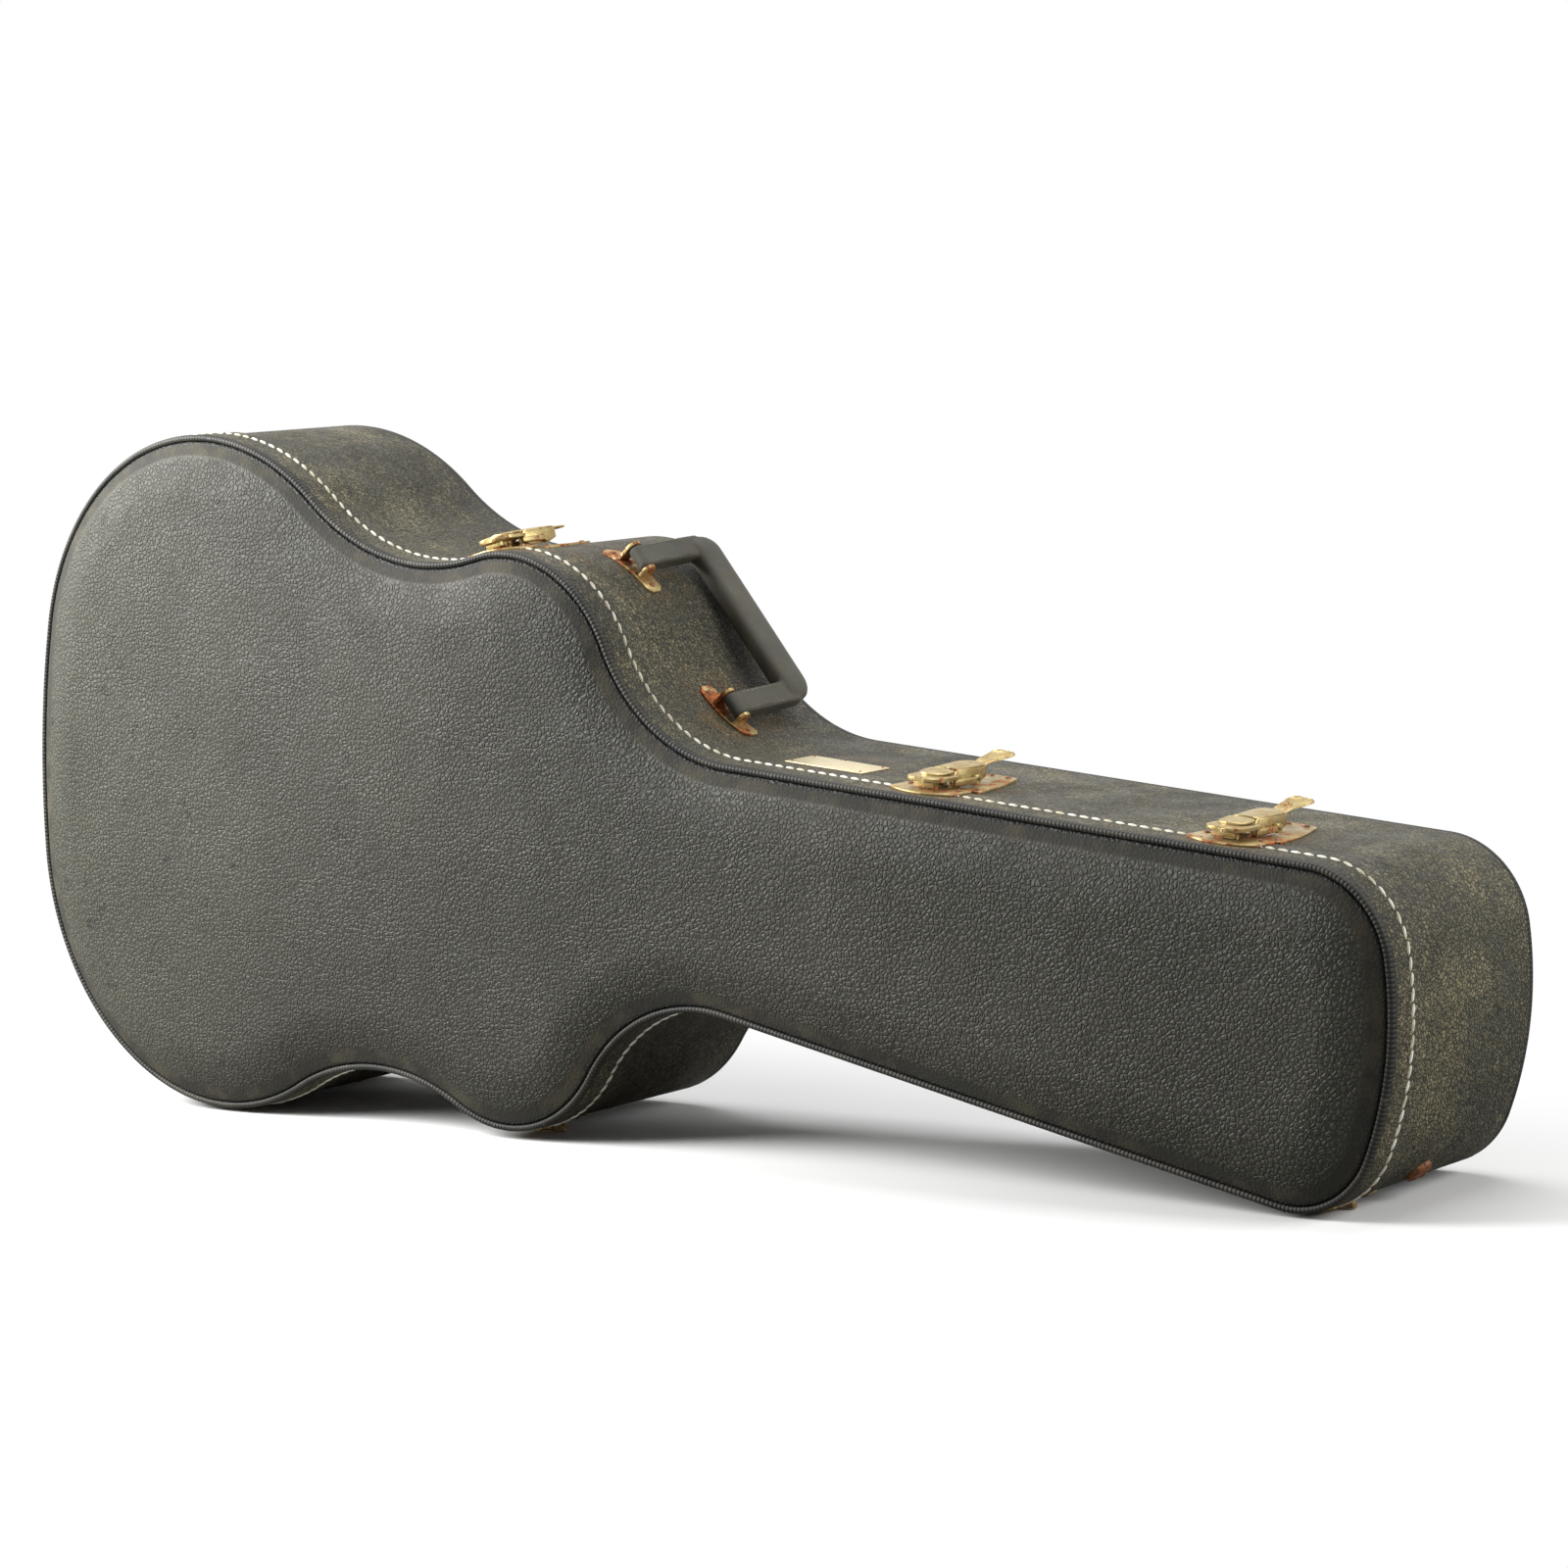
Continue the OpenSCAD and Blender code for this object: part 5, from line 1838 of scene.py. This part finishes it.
        tab = self.blade(tab_len, tab_half, tab_top, self.lever_wall - 0.2, end - overlap, 40)
        merge(form, tab)
        for x in (-self.lever_half, self.lever_half - self.lever_side):
            cheek = Form().prism(self.cheek(front, end), x, x + self.lever_side)
            cheek.bevel(0.4, 2, 20)
            turn = Matrix(((0, 0, 1, 0), (1, 0, 0, 0), (0, 1, 0, 0), (0, 0, 0, 1)))
            merge(form, cheek.transform(turn))
        return form

    def cheek(self, front: float, end: float) -> list[tuple[float, float]]:
        """Side view of a cheek of the channel.

        Args:
            front: Where the blade starts.
            end: Where the channel ends.

        Returns:
            Its corners, along the lever and upwards.
        """
        pivot = self.pivot_back
        level = self.pivot_z
        under = self.lever_top - self.lever_wall + 0.3
        return [(pivot - 3.6, level - 2.0), (pivot, level - 4.2), (pivot + 3.6, level - 4.0),
                (self.bail_back + 4.2, self.bail_z - 2.6), (end - 1.0, self.bail_z),
                (end - 1.0, under), (front + 0.5, under), (pivot - 4.2, level + 1.0)]

    def bail(self) -> Form:
        """Bail: two arms, a lower and an upper rounded blade, and the lip that hooks down.

        Returns:
            The form, in its place's millimetres.
        """
        lip_y = -self.strike_back - self.lip_gap - self.lip_wall
        front = lip_y - self.bail_over
        low = self.bail_z + self.bail_wall / 2
        middle = low + self.bail_wall
        back = self.pivot_back - self.bail_short

        def tongue(y0: float, half: float, corner: float) -> Callable[[float], float]:
            """A blade's outline with round front corners.

            Args:
                y0: Where the blade starts.
                half: Its half width.
                corner: Radius of its corners.

            Returns:
                Its half width as a function of the share of its length.
            """
            length = back - y0

            def width(t: float) -> float:
                """Half width at a share of the length."""
                near = min(1.0, t * length / corner)
                return half - corner * (1 - math.sqrt(max(0.0, 1 - (1 - near) ** 2)))

            return width

        def lower_top(t: float, a: float) -> float:
            """Height of the bail's lower blade at shares of its length and half width."""
            return middle - 0.3 * a * a

        def upper_top(t: float, a: float) -> float:
            """Height of its upper blade at shares of its length and half width."""
            return self.lever_top - self.bail_sunk + self.bail_rise * t - 0.5 * a * a

        lower = tongue(front, self.bail_half, self.bail_corner)
        form = self.blade(back - front, lower, lower_top, self.bail_wall, front)
        start = front + self.bail_step
        upper = tongue(start, self.lever_half, self.bail_corner_up)
        wall = self.lever_top - self.bail_sunk - middle + 0.4
        merge(form, self.blade(back - start, upper, upper_top, wall, start))
        for x in (-self.bail_half, self.bail_in):
            arm = Form().bar(x, x + self.bail_arm, self.bail_back, self.bail_z, 2.6)
            merge(form, arm.bevel(0.35, 2, 50))
            strap = Form().prism([(x, back - 2.6), (x + self.bail_arm, back - 2.6),
                                  (x + self.bail_arm, self.bail_back), (x, self.bail_back)],
                                 self.bail_z - self.bail_wall / 2, self.bail_z + self.bail_wall / 2)
            merge(form, strap.bevel(0.4, 2, 50))
        lip_end = lip_y + self.lip_wall
        lip = Form().prism([(-self.lip_half, lip_y), (self.lip_half, lip_y),
                            (self.lip_half, lip_end), (-self.lip_half, lip_end)],
                           self.lip_z, low + 0.2)
        return merge(form, lip.bevel(0.4, 2, 50))


def merge(form: Form, other: Form) -> Form:
    """Adds another form to a form.

    Args:
        form: The form that grows.
        other: The form that goes into it and ends.

    Returns:
        The grown form.
    """
    mesh = bpy.data.meshes.new("merged")
    other.bm.to_mesh(mesh)
    other.bm.free()
    form.bm.from_mesh(mesh)
    bpy.data.meshes.remove(mesh)
    return form


@dataclass
class Handle:
    """Leather handle with its straps, rolls, grip and stitches; sizes in millimetres.

    Attributes:
        leather: Material of the straps and the grip.
        thread: Material of the stitches.
        plate: Material of the brass plates.
        turn_up: Turn of the rim at the upper plate, in degrees.
        turn_low: Turn at the lower plate, on the hollow above the neck.
        middle_w: Depth of the plates' middle from the lid's front edge.
        pin_h: Height of the pins above the rim.
        arm_w: Width of a strap.
        arm_t: Thickness of a strap.
        strap_len: Length of a strap from its pin.
        reach: Distance from the pins to the grip's far side.
        grip_w: Width of the grip.
        grip_t: Thickness of the grip.
        end_len: Length over which the grip's ends turn down.
        end_cut: How far the grip's far side is drawn in at its ends.
        end_thick: Share of the thickness that is left at its very ends.
        strap_edge: Rounding of the straps' edges.
        roll_edge: Rounding of the rolls' edges.
        plate_edge: Rounding of the brass plates' edges.
        rise: Angle of the resting handle from the rim, in degrees.
        stitch: Length, width and height of a stitch.
        stitch_pitch: Distance between two stitches.
        stitch_count: Stitches in a row.
        stitch_start: Where a row starts.
        stitch_in: Distance of a row from the strap's edge.
        melt_voxel: Grid size of the skin that joins the parts.
        melt_steps: Steps of smoothing of that skin.
    """

    leather: Finish
    thread: Finish
    plate: Finish
    turn_up: float = 64.6
    turn_low: float = 60.0
    middle_w: float = 66.0
    pin_h: float = 9.0
    arm_w: float = 15.0
    arm_t: float = 9.0
    strap_len: float = 48.0
    reach: float = 60.0
    grip_w: float = 20.0
    grip_t: float = 14.0
    end_len: float = 14.0
    end_cut: float = 12.0
    end_thick: float = 0.55
    strap_edge: float = 1.4
    roll_edge: float = 1.0
    plate_edge: float = 0.35
    rise: float = 5.0
    stitch: tuple[float, float, float] = (2.7, 0.9, 0.7)
    stitch_pitch: float = 3.6
    stitch_count: int = 8
    stitch_start: float = 7.5
    stitch_in: float = 1.9
    melt_voxel: float = 0.8
    melt_steps: int = 8

    def __post_init__(self) -> None:
        """Works out where the handle is and how it rests."""
        upper = Place.on_arc(OUTLINE.shoulder, SHOULDER_R, self.turn_up)
        flare = OUTLINE.flare(NECK_TOP, HEAD_TOP)
        lower = Place.on_arc(flare, -FLARE_R, self.turn_low)
        high = upper.point - RIM_STEP * along(upper.turn)
        low = lower.point - RIM_STEP * along(lower.turn)
        turn = turn_of(low - high) + 90
        self.half_span = (low - high).length / 2
        self.place = Place((high + low) / 2 + self.pin_h * along(turn), turn)
        rise = Matrix.Rotation(math.radians(self.rise), 4, "X")
        self.where = self.place.matrix(self.middle_w) @ rise

    def build(self) -> None:
        """Makes the handle's pieces."""
        made = self.body().transform(self.where).piece(
            "handle_leather_grip", "handle", Slot.LEATHER, self.leather, ["handle_grip"], 60)
        melt(made, self.melt_voxel * MM, self.melt_steps)
        self.stitches().transform(self.where).piece(
            "handle_stitches", "handle", Slot.LEATHER, self.thread)
        for node in ("handle_plate_upper", "handle_plate_lower"):
            softened(node, self.plate_edge).piece(
                f"{node}_brass", "body", Slot.BRASS, self.plate, [node])

    def body(self) -> Form:
        """Straps, rolls and grip, still as overlapping forms.

        Returns:
            The form, in the handle's millimetres.
        """
        outer = self.half_span + self.arm_w / 2
        form = Form()
        for side in (-1, 1):
            x = side * self.half_span
            left = x - self.arm_w / 2
            right = x + self.arm_w / 2
            strap = Form().prism([(left, 0), (right, 0), (right, self.strap_len),
                                  (left, self.strap_len)], -self.arm_t / 2, self.arm_t / 2)
            merge(form, strap.bevel(self.strap_edge, 3, 50))
            roll = Form().bar(left, right, 0, 0, self.arm_t / 2)
            merge(form, roll.bevel(self.roll_edge, 2, 50))
        return merge(form, self.grip(outer))

    def grip(self, outer: float) -> Form:
        """Thick round-edged grip whose ends turn down into the straps.

        Args:
            outer: Half its length.

        Returns:
            The form, in the handle's millimetres.
        """
        rings = []
        steps = 40
        sides = 28
        flat_across = 0.55
        flat_up = 0.7
        for k in range(steps + 1):
            share = -1 + 2 * k / steps
            x = outer * share
            end = max(0.0, (abs(x) - (outer - self.end_len)) / self.end_len)
            corner = math.sqrt(max(0.0, 1 - end**2.2))
            near = self.reach - self.grip_w
            far = self.reach - self.end_cut * (1 - corner)
            middle = (near + far) / 2
            half = (far - near) / 2
            thick = self.arm_t / 2 + (self.grip_t / 2 - self.arm_t / 2) * (1 - end**2)
            thick *= self.end_thick + (1 - self.end_thick) * corner
            ring = []
            for s in range(sides):
                turn = 2 * math.pi * s / sides
                c = math.cos(turn)
                d = math.sin(turn)
                across = math.copysign(abs(c) ** flat_across, c)
                up = math.copysign(abs(d) ** flat_up, d)
                ring.append(Vector((x, middle + half * across, thick * up)))
            rings.append(ring)
        return Form().skin(rings)

    def stitches(self) -> Form:
        """Edge stitches on both straps.

        Returns:
            The form, in the handle's millimetres.
        """
        form = Form()
        turn = Matrix.Rotation(math.pi / 2, 4, "Z")
        z = self.arm_t / 2 - 0.05
        for side in (-1, 1):
            for edge in (-1, 1):
                x = side * self.half_span + edge * (self.arm_w / 2 - self.stitch_in)
                for k in range(self.stitch_count):
                    y = self.stitch_start + k * self.stitch_pitch
                    form.bead(Matrix.Translation((x, y, z)) @ turn, *self.stitch)
        return form


def melt(made: bpy.types.Object, voxel: float, smooth: int) -> None:
    """Joins overlapping forms into one soft skin.

    Args:
        made: The object.
        voxel: Grid size in metres.
        smooth: Steps of smoothing.
    """
    remesh = made.modifiers.new("remesh", "REMESH")
    remesh.mode = "VOXEL"
    remesh.voxel_size = voxel
    remesh.use_smooth_shade = True
    relax = made.modifiers.new("relax", "SMOOTH")
    relax.factor = 0.5
    relax.iterations = smooth
    apply_modifiers(made)
    made.data.shade_smooth()


@dataclass
class Fittings:
    """Hinges, name plate, glide, feet and the small metal parts that keep their solids.

    Attributes:
        plate: Material of the hinge leaves.
        label: Material of the name plate.
        rusty: Material of the rivets, nails, glide and feet.
        steel: Material of the thin pins.
        label_edge: Rounding of the name plate's edges, in millimetres.
        leaf_edge: Rounding of the hinge leaves' edges.
    """

    plate: Finish
    label: Finish
    rusty: Finish
    steel: Finish
    label_edge: float = 0.3
    leaf_edge: float = 0.2

    def build(self) -> None:
        """Makes the pieces, and gives the kept solids their materials."""
        softened("label_plate", self.label_edge).piece(
            "label_plate_bare", "body", Slot.BRASS, self.label, ["label_plate"])
        for side in ("tail", "bout", "head"):
            for part, body in (("body", "body"), ("lid", "lid")):
                node = f"hinge_{part}_{side}"
                softened(node, self.leaf_edge).piece(
                    f"{node}_leaf", body, Slot.BRASS, self.plate, [node])
        for node in ("feet", "glide_head"):
            node_form(node).piece(f"{node}_domes", "body", Slot.RUSTY, self.rusty, [node], 50)
        keep = {self.rusty: ["label_nails", "handle_rivets", "handle_pins", "hinge_body_rivets",
                             "latch_base_rivets", "hinge_lid_rivets", "catch_rivets"],
                self.steel: ["box_pin", "lever_pins", "hinge_pin_tail", "hinge_pin_bout",
                             "hinge_pin_head", *(f"bail_pin_{name}" for name in PLACES)]}
        for finish, nodes in keep.items():
            for node in nodes:
                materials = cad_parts[node].data.materials
                materials.clear()
                materials.append(finish.material)
                log.info("%s keeps its solid", node)


@dataclass(frozen=True)
class Lamp:
    """A soft rectangular lamp, in metres and watts.

    Attributes:
        name: The lamp's name.
        spot: Its place.
        size: Its width and height.
        power: Its power.
    """

    name: str
    spot: tuple[float, float, float]
    size: tuple[float, float]
    power: float


@dataclass
class Studio:
    """Floor, lights, white surroundings and the camera, in metres.

    Attributes:
        lamps: The lamps.
        aim: Spot that they face.
        dim: Strength of the world for light that isn't seen as background.
        floor_half: Half size of the floor.
        strip_half: Half length of the strip that the case stands on.
        floor_clear: Distance from that strip at which the floor is white.
        lens: Focal length in millimetres.
        eye: The camera's place.
        eye_right: The way to its right.
        eye_back: The way behind it.
    """

    lamps: tuple[Lamp, ...] = (
        Lamp("key", (-0.95, -0.62, 0.75), (0.8, 0.8), 43.0),
        Lamp("end", (1.9, 0.5, 0.9), (1.0, 1.0), 26.0),
        Lamp("top", (0.0, 0.6, 2.2), (2.0, 1.2), 31.0),
    )
    aim: tuple[float, float, float] = (0.0, 0.0, 0.2)
    dim: float = 0.12
    floor_half: float = 6.0
    strip_half: float = 0.5
    floor_clear: float = 0.32
    lens: float = 96.77
    eye: tuple[float, float, float] = (1.6921, -1.8393, 0.4568)
    eye_right: tuple[float, float, float] = (0.7527, 0.6550, -0.0663)
    eye_back: tuple[float, float, float] = (0.6581, -0.7463, 0.0994)

    def build(self) -> None:
        """Makes the whole studio."""
        self.floor()
        self.surroundings()
        for lamp in self.lamps:
            self.light(lamp)
        self.camera()
        bpy.context.scene.view_settings.view_transform = "Standard"

    def floor(self) -> None:
        """Pale floor under the case."""
        bm = bmesh.new()
        bmesh.ops.create_grid(bm, x_segments=4, y_segments=4, size=self.floor_half)
        mesh = bpy.data.meshes.new("floor")
        bm.to_mesh(mesh)
        bm.free()
        made = bpy.data.objects.new("floor", mesh)
        bpy.context.scene.collection.objects.link(made)
        mesh.materials.append(FloorPaint(self.strip_half, self.floor_clear).made().material)

    def surroundings(self) -> None:
        """World that is white to the camera, glossy and clear rays, and dim to the rest."""
        world = bpy.data.worlds.new("studio")
        bpy.context.scene.world = world
        world.use_nodes = True
        nodes = Nodes()
        nodes.tree = world.node_tree
        nodes.tree.nodes.clear()
        ray = nodes.add("ShaderNodeLightPath").outputs
        mirrored = nodes.math("MAXIMUM", ray["Is Glossy Ray"], ray["Is Transmission Ray"])
        seen = nodes.math("MAXIMUM", ray["Is Camera Ray"], mirrored)
        strength = nodes.add("ShaderNodeMapRange",
                             {"Value": seen, "To Min": self.dim, "To Max": 1.0})
        light = nodes.add("ShaderNodeBackground",
                          {"Color": (1, 1, 1, 1), "Strength": strength.outputs["Result"]})
        nodes.add("ShaderNodeOutputWorld", {"Surface": light.outputs[0]})

    def light(self, lamp: Lamp) -> None:
        """Adds a lamp that faces the case and isn't seen itself.

        Args:
            lamp: The lamp.
        """
        data = bpy.data.lights.new(lamp.name, "AREA")
        data.shape = "RECTANGLE"
        data.size, data.size_y = lamp.size
        data.energy = lamp.power
        made = bpy.data.objects.new(lamp.name, data)
        made.location = lamp.spot
        way = Vector(self.aim) - Vector(lamp.spot)
        made.rotation_euler = way.to_track_quat("-Z", "Y").to_euler()
        made.visible_camera = False
        bpy.context.scene.collection.objects.link(made)

    def camera(self) -> None:
        """Long lens, a little above the case and to its head side."""
        data = bpy.data.cameras.new("camera")
        data.lens = self.lens
        data.sensor_width = 36.0
        data.clip_start = 0.05
        data.clip_end = 100.0
        camera = bpy.data.objects.new("camera", data)
        right = Vector(self.eye_right).normalized()
        up = Vector(self.eye_back).normalized().cross(right).normalized()
        turn = Matrix((right, up, right.cross(up))).transposed().to_4x4()
        camera.matrix_world = Matrix.Translation(self.eye) @ turn
        bpy.context.scene.collection.objects.link(camera)
        bpy.context.scene.camera = camera


def hardware_spots() -> list[Vector]:
    """Middles of the plates round which the rims are stained.

    Returns:
        The spots, in metres.
    """
    nodes = [f"{part}_{name}" for part in ("latch_base", "catch") for name in PLACES]
    nodes += ["handle_plate_upper", "handle_plate_lower", "label_plate"]
    found = []
    for node in nodes:
        low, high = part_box(node)
        found.append((low + high) / 2)
    return found


def main() -> None:
    """Builds the scene."""
    logging.basicConfig(level=logging.INFO)
    Studio().build()
    white = Thread("stitch_thread", srgb(244, 240, 226), srgb(206, 198, 174)).made()
    brown = Thread("handle_thread", srgb(120, 112, 98), srgb(70, 64, 54)).made()
    red = Plush("plush", srgb(78, 14, 24), srgb(112, 26, 38)).made()
    leather = HandleLeather().made()
    plate = Brass("brass_plate", 0.5).made()
    rim = RimVinyl(hardware_spots()).made()
    Shell(PanelVinyl().made(), rim, WeltVinyl().made(), white).build()
    Inside(red, leather).build()
    Latches(plate, Brass("brass_blade", 0.25).made()).build()
    Handle(leather, brown, Brass("handle_brass", 0.62).made()).build()
    label = Brass("label_brass", 0.1, 0.7).made()
    Fittings(plate, label, RustySteel().made(), PinSteel().made()).build()
    log.info("scene built")


if __name__ == "__main__":
    main()
